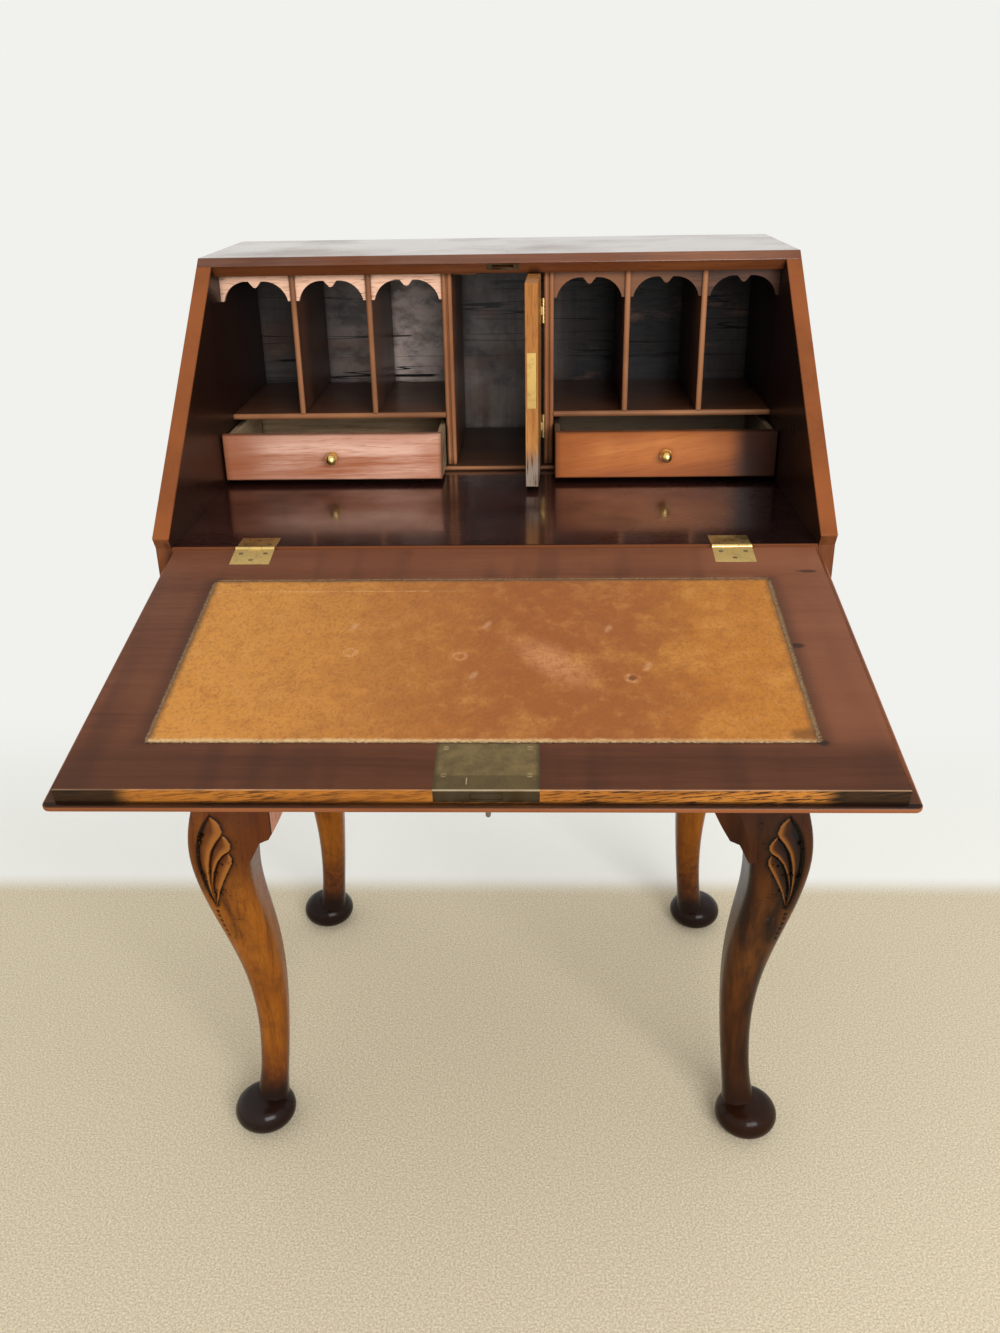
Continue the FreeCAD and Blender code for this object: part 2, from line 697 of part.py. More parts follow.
def hinge_leaves(name, way):
    """The leaves of both fall hinges on one side of the joint: way is 1 towards the bed, -1 the other way.
    The bed leaf has the outer knuckles, the fall leaf the middle one. Gives leaves, screws and room cuts."""
    leaves, fixings, room = [], [], []
    seat = ("knuckle_sink - leaf_thick", "knuckle_sink")
    third = "leaf_width / 6"
    spans = ([("-leaf_width / 2", f"-{third} - knuckle_gap"), (f"{third} + knuckle_gap", "leaf_width / 2")]
             if way > 0 else [(f"-{third}", third)])
    for hand, side in SIDES.items():
        middle = "hinge_x" if side > 0 else "-hinge_x"
        across = (f"{middle} - leaf_width / 2", f"{middle} + leaf_width / 2")
        plate_y = mirrored("leaf_start", "leaf_reach", way)
        neck_y = mirrored("0", "leaf_start", way)
        pieces = [board(f"{name}_plate_{hand}", across, plate_y, seat)]
        for index, (low, high) in enumerate(spans):
            span = (f"{middle} + {low}", f"{middle} + {high}")
            pieces.append(board(f"{name}_neck_{hand}_{index}", span, neck_y, seat))
            pieces.append(rod(f"{name}_knuckle_{hand}_{index}", "knuckle_radius", f"({high}) - ({low})",
                              (span[0], "0", "0"), Y_AXIS, "90"))
        bore = rod(f"{name}_bore_{hand}", "pin_radius + pin_gap", "leaf_width + 2 * overrun",
                   (f"{across[0]} - overrun", "0", "0"), Y_AXIS, "90")
        near = "leaf_screw_near" if way > 0 else "-leaf_screw_near"
        far = "leaf_screw_far" if way > 0 else "-leaf_screw_far"
        spots = [(f"{middle} - leaf_screw_spread", near), (f"{middle} + leaf_screw_spread", near),
                 (middle, far)]
        plain, slotted = screws(f"{name}_screw_{hand}", spots)
        leaves.append(cut(f"{name}_{hand}", fuse(f"{name}_blank_{hand}", pieces), [bore] + plain))
        fixings += slotted
        room += plain
        room.append(board(f"{name}_recess_{hand}", across, mirrored("0", "leaf_reach", way),
                          (seat[0], "knuckle_sink + overrun")))
        room.append(rod(f"{name}_room_{hand}", "knuckle_radius + knuckle_room", "leaf_width",
                        (across[0], "0", "0"), Y_AXIS, "90"))
    return leaves, fixings, room


def bed():
    """The inner writing surface, its front edge eased at the hinge line, with its brass hinge leaves."""
    outline = [
        ("bed_setback", "knuckle_sink - bed_thick"),
        ("back_face - hinge_y", "knuckle_sink - bed_thick"),
        ("back_face - hinge_y", "knuckle_sink"),
        ("bed_setback + bed_nose", "knuckle_sink"),
        ("bed_setback", "knuckle_sink - bed_nose"),
    ]
    blank = padded("bed_blank", "YZ_Plane", outline, "2 * inner_half")
    place(blank, ("-inner_half", "0", "0"))
    leaves, fixings, room = hinge_leaves("bed_leaf", 1)
    keep(carry(cut("writing_bed", blank, room), HINGE), "writing_bed")
    keep(carry(group("bed_hinge_leaves", leaves), HINGE), "bed_hinge_leaves")
    keep(carry(group("bed_hinge_screws", fixings), HINGE), "bed_hinge_screws")


def fall():
    """The fall: a tongue that fits inside the case, on a wider slab whose rounded edge laps over it."""
    section = [
        ("-fall_length", "knuckle_sink"),
        ("-fall_length", "-tongue_under"),
        ("-lip_start", "-tongue_under"),
        ("-hinge_gap", "knuckle_sink - fall_nose"),
        ("-hinge_gap - fall_nose", "knuckle_sink"),
    ]
    tongue = padded("fall_tongue", "YZ_Plane", section, "2 * fall_half")
    place(tongue, ("-fall_half", "0", "0"))
    half, front = "(fall_half + lip_side)", "(fall_length + lip_front)"
    plan = [
        (half, "-lip_start"),
        (f"-{half}", "-lip_start"),
        (f"-{half}", f"lip_corner - {front}", "lip_corner", 1),
        (f"lip_corner - {half}", f"-{front}"),
        (f"{half} - lip_corner", f"-{front}", "lip_corner", 1),
        (half, f"lip_corner - {front}"),
    ]
    slab = padded("fall_slab", "XY_Plane", plan, "lip_thick")
    rounded(slab, "lip_round", lambda edge: (lies_at(edge, "z", "0") or lies_at(edge, "z", "lip_thick"))
            and not lies_at(edge, "y", "-lip_start"))
    place(slab, ("0", "0", "-fall_under"))
    blank = fuse("fall_blank", [tongue, slab])

    leaves, fixings, room = hinge_leaves("fall_leaf", -1)
    suede_x = ("suede_side - fall_half", "fall_half - suede_side")
    suede_y = ("suede_front - fall_length", "-suede_back")
    recess = board("suede_recess", (f"{suede_x[0]} - suede_gap", f"{suede_x[1]} + suede_gap"),
                   (f"{suede_y[0]} - suede_gap", f"{suede_y[1]} + suede_gap"),
                   ("knuckle_sink - suede_inlay", "knuckle_sink + overrun"))
    panel = cut("fall_panel", blank, room + [recess] + fall_lock())
    keep(carry(panel, FALL), "fall_panel")
    suede = padded("writing_suede", "XY_Plane",
                   [(suede_x[0], suede_y[0]), (suede_x[1], suede_y[0]), (suede_x[1], suede_y[1]),
                    (suede_x[0], suede_y[1])], "suede_thick")
    pile = "knuckle_sink - suede_inlay"
    keep(carry(suede, lifted(pile)), "writing_suede")
    keep(carry(group("fall_hinge_leaves", leaves), FALL), "fall_hinge_leaves")
    keep(carry(group("fall_hinge_screws", fixings), FALL), "fall_hinge_screws")
    pins = [rod(f"fall_pin_{hand}", "pin_radius", "leaf_width",
                (f"{side} * hinge_x - leaf_width / 2", "0", "0"), Y_AXIS, "90")
            for hand, side in SIDES.items()]
    keep(carry(group("fall_hinge_pins", pins), FALL), "fall_hinge_pins")


def fall_lock():
    """Brass lock let into the fall's edge, with its bolt, key, escutcheon and screws.
    Gives the room that the panel leaves for them."""
    middle = "lock_offset"
    front = "-fall_length"
    plate_x = (f"{middle} - lock_width / 2", f"{middle} + lock_width / 2")
    case_x = (f"{middle} - lock_case_width / 2", f"{middle} + lock_case_width / 2")
    plate_z = ("knuckle_sink - lock_plate", "knuckle_sink")
    case_z = ("knuckle_sink - lock_plate - lock_case_depth", plate_z[0])
    shapes = {
        "plate": (plate_x, (front, f"{front} + lock_length"), plate_z),
        "edge": (plate_x, (front, f"{front} + lock_plate"), (case_z[0], plate_z[0])),
        "case": (case_x, (f"{front} + lock_plate", f"{front} + lock_case_length"), case_z),
    }
    room = [board(f"lock_room_{name}", *spans) for name, spans in shapes.items()]
    blank = fuse("fall_lock_blank", [board(f"lock_{name}", *spans) for name, spans in shapes.items()])
    bolt_x = (f"{middle} - bolt_width / 2", f"{middle} + bolt_width / 2")
    bolt_end = f"{front} + bolt_length"
    channel = board("bolt_channel", (f"{bolt_x[0]} - bolt_gap", f"{bolt_x[1]} + bolt_gap"),
                    (f"{front} - overrun", f"{bolt_end} + bolt_gap"),
                    ("bolt_z - bolt_thick / 2 - bolt_gap", "bolt_z + bolt_thick / 2 + bolt_gap"))
    key_top = "(bolt_z + bolt_thick / 2)"
    key_foot = "(fall_under + key_out)"
    bore = rod("key_bore", "key_radius + key_gap", f"fall_under + {key_top} + key_gap + overrun",
               (middle, "key_y", "-fall_under - overrun"))
    ward = rod("key_ward", "key_bit + key_room", "bolt_thick + 2 * key_gap",
               (middle, "key_y", "bolt_z - bolt_thick / 2 - key_gap"))
    lock_spots = [(f"{middle} + {way} * (lock_width / 2 - lock_screw_inset)", f"{front} + {reach}")
                  for way in (-1, 1) for reach in ("lock_screw_front", "lock_length - lock_screw_inset")]
    plain, slotted = screws("lock_screw", lock_spots)
    keep(carry(cut("fall_lock", blank, [channel, bore, ward] + plain), FALL), "fall_lock")
    keep(carry(group("fall_lock_screws", slotted), FALL), "fall_lock_screws")
    bolt = padded("fall_lock_bolt", "XY_Plane",
                  [(bolt_x[0], front), (bolt_x[1], front), (bolt_x[1], bolt_end), (bolt_x[0], bolt_end)],
                  "bolt_thick")
    low = "bolt_z - bolt_thick / 2"
    keep(carry(bolt, lifted(low)), "fall_lock_bolt")

    shaft = rod("key_shaft", "key_radius", f"{key_foot} + {key_top}", (middle, "key_y", f"-{key_foot}"))
    bit = board("key_bit", (f"{middle} - key_bit_thick / 2", f"{middle} + key_bit_thick / 2"),
                ("key_y", "key_y + key_bit"), (low, key_top))
    bow = doc.addObject("Part::Torus", "key_bow")
    bow.setExpression("Radius1", bound("key_bow"))
    bow.setExpression("Radius2", bound("key_wire"))
    place(bow, (middle, "key_y", f"-{key_foot} - key_bow"), Y_AXIS, "90")
    keep(carry(fuse("fall_key", [shaft, bit, bow]), FALL), "fall_key")

    disc = rod("escutcheon_disc", "escutcheon_radius", "escutcheon_thick", (middle, "key_y", "-fall_under"))
    keep(carry(cut("key_escutcheon", disc, [bore]), FALL), "key_escutcheon")
    disc_room = rod("escutcheon_room", "escutcheon_radius", "escutcheon_thick + overrun",
                    (middle, "key_y", "-fall_under - overrun"))
    return room + plain + [bore, disc_room]


def nosed(name, plane, thick, depth, length, reverse=False):
    """A thin board with a rounded front edge: thickness first in plan, height second in section."""
    if plane == "XY_Plane":
        outline = [("0", "0", f"{thick} * {nose_share}", 1), (thick, "0"), (thick, depth), ("0", depth)]
    else:
        outline = [("0", thick, f"{thick} * {nose_share}", 1), ("0", "0"), (depth, "0"), (depth, thick)]
    return padded(name, plane, outline, length, reverse)


def fittings():
    """Base board, shelves, dividers, reeded uprights, arched valances and the stop strip."""
    depth = "back_face - fit_front"
    base = nosed("fittings_base", "YZ_Plane", "base_thick", f"{depth} + base_out", "2 * inner_half")
    keep(place(base, ("-inner_half", "fit_front - base_out", "writing_height")), "fittings_base")
    shelves, dividers, valances = [], [], []
    for hand, side in SIDES.items():
        shelf = nosed(f"shelf_{hand}", "YZ_Plane", "shelf_thick", depth, "inner_half - upright_out")
        start = mirrored("upright_out", "inner_half", side)[0]
        shelves.append(place(shelf, (start, "fit_front", "shelf_under")))
        for count in range(2):
            edge = f"upright_out + {count + 1} * bay_width + {count} * divider_thick"
            divider = nosed(f"divider_{hand}_{count}", "XY_Plane", "divider_thick", depth,
                            "top_under - shelf_top")
            start = mirrored(edge, f"{edge} + divider_thick", side)[0]
            dividers.append(place(divider, (start, "fit_front", "shelf_top")))
        for count in range(3):
            edge = f"upright_out + {count} * (bay_width + divider_thick)"
            arch = valance(f"valance_{hand}_{count}")
            start = mirrored(edge, f"{edge} + bay_width", side)[0]
            spot = (f"{start} + bay_width / 2", "fit_front + valance_setback", "top_under")
            valances.append(place(arch, spot))
        post = upright(hand, depth)
        place(post, (mirrored("upright_in", "upright_out", side)[0], "fit_front", "base_top"))
        if side < 0:
            keep(post, "upright_left")
        else:
            keep(cut("upright_right", post, door_post_room()), "upright_right")
    keep(group("shelves", shelves), "shelves")
    keep(group("dividers", dividers), "dividers")
    keep(group("valances", valances), "valances")
    keep(board("door_stop", ("-upright_in", "stop_width - upright_in"),
               ("fit_front + door_thick + door_gap", "fit_front + door_thick + door_gap + stop_thick"),
               ("top_under - stop_height", "top_under")), "door_stop")


def upright(hand, depth):
    """Cupboard side whose front edge carries two reeds with a quirk between them."""
    reed = "(upright_width - reed_quirk) / 2"
    curve = f"{reed} * {reed_share}"
    outline = [
        ("0", "0", curve, 1),
        (reed, "0"),
        (f"{reed} + reed_quirk", "0", curve, 1),
        ("upright_width", "0"),
        ("upright_width", depth),
        ("0", depth),
    ]
    name = f"upright_{hand}" if hand == "left" else f"upright_blank_{hand}"
    return padded(name, "XY_Plane", outline, "top_under - base_top")


def valance(name):
    """Arched head of one pigeonhole with a small drop in the middle."""
    share = valance_shares
    edge, tip = "bay_width / 2", f"bay_width * {share['tip']}"
    apex_x, apex_z = f"bay_width * {share['apex']}", f"-valance_height * {share['apex_drop']}"
    drop_x, drop_z = f"bay_width * {share['drop']}", f"-valance_height * {share['drop_low']}"
    arch = f"bay_width * {share['arch']}"
    outline = [
        (f"-{edge}", "0"),
        (f"-{edge}", "-valance_height"),
        (f"{tip} - {edge}", "-valance_height", arch, -1),
        (f"-{apex_x}", apex_z),
        (f"-{drop_x}", drop_z, f"{drop_x} * {share['drop_round']}", 1),
        (drop_x, drop_z),
        (apex_x, apex_z, arch, -1),
        (f"{edge} - {tip}", "-valance_height"),
        (edge, "-valance_height"),
        (edge, "0"),
    ]
    return padded(name, "XZ_Plane", outline, "valance_thick", True)


def door_hinge_heights():
    """Middles of the two door hinges."""
    return {"low": "door_low + door_hinge_low", "high": "door_high - door_hinge_high"}


def door_post_room():
    """Recesses for the door's leaves in the right upright."""
    return [board(f"post_recess_{name}", ("upright_in - overrun", "upright_in + door_leaf_thick"),
                  ("door_axis_y - door_knuckle", "door_axis_y + door_leaf_reach"),
                  (f"{middle} - door_leaf_height / 2", f"{middle} + door_leaf_height / 2"))
            for name, middle in door_hinge_heights().items()]


def door_leaf(name, middle, way):
    """One leaf of a door hinge about the pin: way is 1 on the post (outer knuckles), -1 on the door."""
    third = "door_leaf_height / 6"
    half = "door_leaf_height / 2"
    spans = ([(f"-{half}", f"-{third} - knuckle_gap"), (f"{third} + knuckle_gap", half)]
             if way > 0 else [(f"-{third}", third)])
    across = mirrored("door_axis_gap", "door_axis_gap + door_leaf_thick", way)
    pieces = [board(f"{name}_plate", across, ("door_leaf_start", "door_leaf_reach"),
                    (f"{middle} - {half}", f"{middle} + {half}"))]
    for index, (low, high) in enumerate(spans):
        pieces.append(board(f"{name}_neck_{index}", across, ("0", "door_leaf_start"),
                            (f"{middle} + {low}", f"{middle} + {high}")))
        pieces.append(rod(f"{name}_knuckle_{index}", "door_knuckle", f"({high}) - ({low})",
                          ("0", "0", f"{middle} + {low}")))
    bore = rod(f"{name}_bore", "door_pin_radius + pin_gap", "door_leaf_height + 2 * overrun",
               ("0", "0", f"{middle} - {half} - overrun"))
    return cut(name, fuse(f"{name}_blank", pieces), [bore])


def door():
    """Oak cupboard door, hung on the right upright and standing open, with a brass lock in its free edge."""
    face = ("door_pin_out", "door_pin_out + door_thick")
    across = ("-door_axis_gap - door_width", "-door_axis_gap")
    blank = board("door_blank", across, face, ("door_low", "door_high"))
    middle = "(base_top + door_lock_rise)"
    centre = "(door_pin_out + door_thick / 2)"
    spans = {
        "plate": ((across[0], f"{across[0]} + door_lock_plate"),
                  (f"{centre} - door_lock_width / 2", f"{centre} + door_lock_width / 2"),
                  (f"{middle} - door_lock_height / 2", f"{middle} + door_lock_height / 2")),
        "case": ((f"{across[0]} + door_lock_plate", f"{across[0]} + door_lock_plate + door_lock_case"),
                 (f"{face[1]} - door_lock_case_thick", face[1]),
                 (f"{middle} - door_lock_case_height / 2", f"{middle} + door_lock_case_height / 2")),
    }
    room = [board(f"door_lock_room_{name}", *span) for name, span in spans.items()]
    leaves, posts, pins = [], [], []
    for name, height in door_hinge_heights().items():
        leaves.append(door_leaf(f"door_leaf_{name}", height, -1))
        posts.append(door_leaf(f"post_leaf_{name}", height, 1))
        low = f"{height} - door_leaf_height / 2"
        pins.append(rod(f"door_pin_{name}", "door_pin_radius", "door_leaf_height", ("0", "0", low)))
        room.append(board(f"door_recess_{name}", ("-door_axis_gap - door_leaf_thick", "overrun"),
                          ("0", "door_leaf_reach"), (low, f"{low} + door_leaf_height")))
    keep(carry(cut("door_panel", blank, room), DOOR), "door_panel")
    lock = fuse("door_lock", [board(f"door_lock_{name}", *span) for name, span in spans.items()])
    keep(carry(lock, DOOR), "door_lock")
    keep(carry(group("door_hinge_leaves", leaves), DOOR), "door_hinge_leaves")
    keep(carry(group("door_hinge_pins", pins), DOOR), "door_hinge_pins")
    keep(place(group("door_post_leaves", posts), ("door_axis_x", "door_axis_y", "0")), "door_post_leaves")


def knob(name, kind, spot):
    """A turned brass knob: a rose on the wood, a neck and a ball."""
    ball, neck, rose, foot, reach = (
        f"{kind}_knob_{part}" for part in ("ball", "neck", "rose", "foot", "reach"))
    outline = [
        ("0", "0"),
        (rose, "0"),
        (rose, foot),
        (neck, foot),
        (neck, f"{reach} - {ball} - sqrt({ball}^2 - {neck}^2)", ball, 1),
        ("0", reach),
    ]
    return place(turned(name, outline), spot, X_AXIS, "90")


def drawer(name, kind, across, front, depth_end, upright_span, knob_places):
    """A drawer: front with eased edges, two sides, back, bottom and its knobs."""
    thick, wall, drop = f"{kind}_front_thick", f"{kind}_side_thick", f"{kind}_side_drop"
    low, high = upright_span
    outline = [(across[0], low), (across[1], low), (across[1], high), (across[0], high)]
    face = padded(f"{name}_front", "XZ_Plane", outline, thick, True)
    rounded(face, f"{kind}_edge_round", lambda edge: lies_at(edge, "y", "0"))
    keep(place(face, ("0", front, "0")), f"{name}_front")
    inside = (f"{across[0]} + {wall}", f"{across[1]} - {wall}")
    run = (f"{front} + {thick}", depth_end)
    wall_z = (low, f"{high} - {drop}")
    floor_z = (f"{low} + {kind}_bottom_raise", f"{low} + {kind}_bottom_raise + {kind}_bottom_thick")
    sides = [board(f"{name}_side_{index}", span, run, wall_z)
             for index, span in enumerate(((across[0], inside[0]), (inside[1], across[1])))]
    keep(group(f"{name}_sides", sides), f"{name}_sides")
    keep(board(f"{name}_back", inside, (f"{depth_end} - {wall}", depth_end), (floor_z[1], wall_z[1])),
         f"{name}_back")
    keep(board(f"{name}_bottom", inside, run, floor_z), f"{name}_bottom")
    middle = f"(({low}) + ({high})) / 2"
    knobs = [knob(f"{name}_knob_{index}", kind, (x, front, middle)) for index, x in enumerate(knob_places)]
    if len(knobs) == 1:
        keep(knobs[0], f"{name}_knob")
    else:
        keep(group(f"{name}_knobs", knobs), f"{name}_knobs")


def drawers():
    """Two small drawers under the shelves, standing a little open, and the long drawer below."""
    for hand, side in SIDES.items():
        across = mirrored("upright_out + small_gap", "inner_half - small_gap", side)
        drawer(f"{hand}_drawer", "small", across, "fit_front - small_out",
               "back_face - small_back_gap - small_out",
               ("base_top + small_rest_gap", "shelf_under - small_top_gap"),
               [f"({across[0]} + {across[1]}) / 2"])
    drawer("long_drawer", "long", ("long_gap - bay_half", "bay_half - long_gap"), "case_front",
           "back_face - long_back_gap", ("rail_top + long_rest_gap", "frieze_under - long_gap"),
           ["-long_knob_spread", "long_knob_spread"])


case_sides()
top()
back()
lower_front()
lopers()
legs()
bed()
fall()
fittings()
door()
drawers()
doc.recompute()

for item in doc.Objects:
    if {"Invalid", "Error"} & set(item.State):
        raise RuntimeError(f"{item.Label} failed: {item.State}")
for item in finished:
    if item.Shape.isNull() or not item.Shape.isValid():
        raise RuntimeError(f"{item.Label} has no valid shape")

os.makedirs("parts", exist_ok=True)
for item in finished:
    item.Shape.exportStep(f"parts/{item.Label}.step")
print(len(finished), "sub-parts written")
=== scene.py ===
import json
import math
import random

import bmesh
import bpy
from mathutils import Matrix, Vector, noise


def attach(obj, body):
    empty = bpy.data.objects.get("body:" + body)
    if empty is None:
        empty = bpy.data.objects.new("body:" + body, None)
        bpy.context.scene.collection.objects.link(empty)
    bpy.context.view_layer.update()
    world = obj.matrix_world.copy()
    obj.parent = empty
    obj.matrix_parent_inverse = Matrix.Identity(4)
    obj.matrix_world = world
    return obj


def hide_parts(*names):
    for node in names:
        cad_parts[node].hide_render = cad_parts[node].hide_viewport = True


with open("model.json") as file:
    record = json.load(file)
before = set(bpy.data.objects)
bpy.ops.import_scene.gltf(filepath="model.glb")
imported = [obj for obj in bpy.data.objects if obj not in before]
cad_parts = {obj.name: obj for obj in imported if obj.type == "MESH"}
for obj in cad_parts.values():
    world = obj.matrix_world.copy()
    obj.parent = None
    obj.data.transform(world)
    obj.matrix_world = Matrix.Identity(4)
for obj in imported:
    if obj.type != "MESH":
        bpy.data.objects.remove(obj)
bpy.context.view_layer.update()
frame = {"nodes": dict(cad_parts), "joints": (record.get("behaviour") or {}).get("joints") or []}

nodes = frame["nodes"]

# Case: two mahogany sides cut to the slope, and the top board that holds them together. The boards are
# planed, French polished and worn pale along the slope, where the fall has closed on them for years.
# The same polished mahogany makes the front rails, the stiles and the lopers.

ACROSS, INWARD, UPWARD = range(3)


class Shade:
    """A value on its way through a finish's nodes; sums of shades add the nodes that work them out."""

    def __init__(self, tree, socket=None):
        self.tree, self.socket = tree, socket

    def feed(self, node, sockets):
        """Links shades to a node's sockets, and sets the sockets that get a plain value."""
        for key, given in sockets.items():
            if isinstance(given, Shade):
                self.tree.links.new(given.socket, node.inputs[key])
            elif isinstance(given, tuple) and node.inputs[key].type == "RGBA":
                node.inputs[key].default_value = (*given, 1)
            else:
                node.inputs[key].default_value = given

    def node(self, kind, sockets, out=0, **settings):
        made = self.tree.nodes.new("ShaderNode" + kind)
        for name, setting in settings.items():
            setattr(made, name, setting)
        self.feed(made, sockets)
        return Shade(self.tree, made.outputs[out])

    def math(self, operation, first, second=0.0):
        return self.node("Math", {0: first, 1: second}, operation=operation)

    def __add__(self, other):
        return self.math("ADD", self, other)

    def __sub__(self, other):
        return self.math("SUBTRACT", self, other)

    def __rsub__(self, other):
        return self.math("SUBTRACT", other, self)

    def __mul__(self, other):
        return self.math("MULTIPLY", self, other)

    def __neg__(self):
        return self.math("MULTIPLY", self, -1.0)

    __radd__, __rmul__ = __add__, __mul__

    def size(self):
        return self.math("ABSOLUTE", self)

    def least(self, other):
        return self.math("MINIMUM", self, other)

    def most(self, other):
        return self.math("MAXIMUM", self, other)

    def rise(self, low, high):
        """0 below low, 1 above high, with a soft step between."""
        return self.node("MapRange", {"Value": self, "From Min": low, "From Max": high},
                         interpolation_type="SMOOTHSTEP")

    def fall(self, low, high):
        """1 below low, 0 above high, with a soft step between."""
        return 1.0 - self.rise(low, high)

    def between(self, none, full):
        """The colour that lies this far on the way from one colour to another."""
        return self.node("Mix", {0: self, 6: none, 7: full}, out=2, data_type="RGBA")

    def turned_to(self, colour, amount):
        """This colour mixed towards another one."""
        return amount.between(self, colour)

    def noise(self, scale, detail=3.0, roughness=0.55, distortion=0.0):
        return self.node("TexNoise", {"Vector": self, "Scale": scale, "Detail": detail,
                                      "Roughness": roughness, "Distortion": distortion})

    def parts(self):
        """A place's three measures: across, inward and up."""
        first = self.node("SeparateXYZ", {"Vector": self})
        return [Shade(self.tree, measure) for measure in first.socket.node.outputs]

    def mapped(self, location=(0, 0, 0), rotation=(0, 0, 0), scale=(1, 1, 1)):
        return self.node("Mapping", {"Vector": self, "Location": location, "Rotation": rotation,
                                     "Scale": scale})


def new_finish(name):
    """A material, its shader, and the place on the piece as the first shade."""
    material = bpy.data.materials.new(name)
    material.use_nodes = True
    start = Shade(material.node_tree)
    return material, material.node_tree.nodes["Principled BSDF"], start.node("TexCoord", {}, out="Object")


def grained(place, grain, tones, seed):
    """Colour, height and cloudiness of sawn wood with its grain along one axis, in three tones."""
    lengthwise_share = 0.05
    stretch = [1.0, 1.0, 1.0]
    stretch[grain] = lengthwise_share
    along = place.mapped(location=(seed, seed * 1.3, seed * 0.7), scale=stretch)
    bands = along.noise(26, 5, 0.6, 0.8)
    fibre = along.noise(190, 4, 0.65)
    open_pores = along.noise(900, 2).rise(0.55, 0.68)
    cloud = place.noise(7, 3)
    tone = bands * 0.6 + fibre * 0.4
    dark, middle, light = tones
    colour = tone.rise(0.32, 0.54).between(dark, middle)
    colour = colour.turned_to(light, (tone * 0.65 + cloud * 0.35).rise(0.50, 0.72))
    colour = colour.turned_to(dark, open_pores * 0.45)
    return colour, fibre * 0.35 - open_pores, cloud


def varnish(shader, colour, height, cloud, polish, coat, depth=0.00012):
    """Lays the polish on: cloudy in its roughness, open in the pores, with painted shade in corners and
    hollows that also stands for old soiling there.
    """
    grime_and_shade, grime_and_shade_reach = (0.006, 0.003, 0.002), 0.010
    bump = colour.node("Bump", {"Strength": 0.5, "Distance": depth, "Height": height})
    # Ambient occlusion darkens the colour in corners and hollows: painted shade, standing also for old
    # soiling there.
    open_air = colour.node("AmbientOcclusion", {"Distance": grime_and_shade_reach}, out="AO", samples=4)
    colour = colour.turned_to(grime_and_shade, open_air.fall(0.30, 0.85) * 0.75)
    colour.feed(shader, {"Base Color": colour, "Roughness": cloud * 0.3 + (polish - 0.15), "Normal": bump,
                         "Coat Weight": cloud.rise(0.2, 0.6) * coat, "Coat Roughness": 0.12,
                         "Specular IOR Level": 0.10})


def wood(name, grain, tones, polish, coat, seed):
    """A finish of one wood all over, with its grain along one axis."""
    material, shader, place = new_finish(name)
    colour, height, cloud = grained(place, grain, tones, seed)
    varnish(shader, colour, height, cloud, polish, coat)
    return material


def dress(material, *names):
    """Gives CAD nodes a finish."""
    for name in names:
        for slot in nodes[name].material_slots:
            slot.material = material


def span(name, axis):
    """From where to where a CAD node reaches along one axis."""
    places = [corner.co[axis] for corner in nodes[name].data.vertices]
    return min(places), max(places)


def ease(width, *names):
    """Takes the sharpness off the arrises of square-cut boards."""
    for name in names:
        merged = nodes[name].modifiers.new("joined", "WELD")
        merged.merge_threshold = 0.00001
        arris = nodes[name].modifiers.new("arris", "BEVEL")
        arris.width = width
        arris.segments = 2
        arris.limit_method = "ANGLE"
        arris.angle_limit = math.radians(35)
        arris.harden_normals = True


mahogany = (0.075, 0.021, 0.008), (0.150, 0.045, 0.015), (0.235, 0.080, 0.026)
unlit_brown = (0.012, 0.005, 0.004)
slope_orange = (0.27, 0.078, 0.020)
slope_angle = math.radians(39.877)
inner_wall, _ = span("side_right", ACROSS)

sides, shader, place = new_finish("polished_sides")
colour, height, cloud = grained(place, UPWARD, mahogany, seed=2.0)
across, inward, up = place.parts()
slope_out = Vector((0, -math.sin(slope_angle), math.cos(slope_angle)))
slope_at = max(corner.co.dot(slope_out) for corner in nodes["side_left"].data.vertices)
out = inward * slope_out.y + up * slope_out.z
worn = out.rise(slope_at - 0.0022, slope_at - 0.0008)
inside = across.size().fall(inner_wall + 0.0002, inner_wall + 0.0015)
colour = colour.turned_to(unlit_brown, inside * (across.rise(-0.1, 0.1) * 0.04 + 0.94))
colour = colour.turned_to(slope_orange, worn * (cloud.rise(0.3, 0.6) * 0.5 + 0.35))
varnish(shader, colour, height, cloud, polish=0.32, coat=0.07 - inside * 0.06)
dress(sides, "side_left", "side_right")

dress(wood("polished_top", ACROSS, mahogany, polish=0.20, coat=1.0, seed=5.0), "top_board")
dress(wood("front_rails", ACROSS, mahogany, polish=0.30, coat=0.2, seed=8.0), "frieze_rail", "bottom_rail")
dress(wood("front_stiles", UPWARD, mahogany, polish=0.30, coat=0.2, seed=9.0), "front_stiles")
dress(wood("lopers", INWARD, mahogany, polish=0.42, coat=0.1, seed=11.0), "loper_left", "loper_right")
ease(0.0008, "side_left", "side_right", "top_board", "frieze_rail", "bottom_rail", "loper_left",
     "loper_right")

# Carcase linings: bottom, runners, guides and kickers of plain oak, sawn and left unpolished. They are fixed
# inside the case, where only the drawers and lopers rub on them, and the long drawer has linings of the same.

raw_oak = (0.040, 0.023, 0.013), (0.115, 0.070, 0.038), (0.19, 0.125, 0.070)
dress(wood("linings_deep", INWARD, raw_oak, polish=0.70, coat=0.0, seed=3.0), "drawer_runners",
      "guide_boards", "loper_runners", "loper_kickers", "long_drawer_sides")
dress(wood("linings_wide", ACROSS, raw_oak, polish=0.70, coat=0.0, seed=4.0), "case_bottom",
      "long_drawer_back", "long_drawer_bottom")
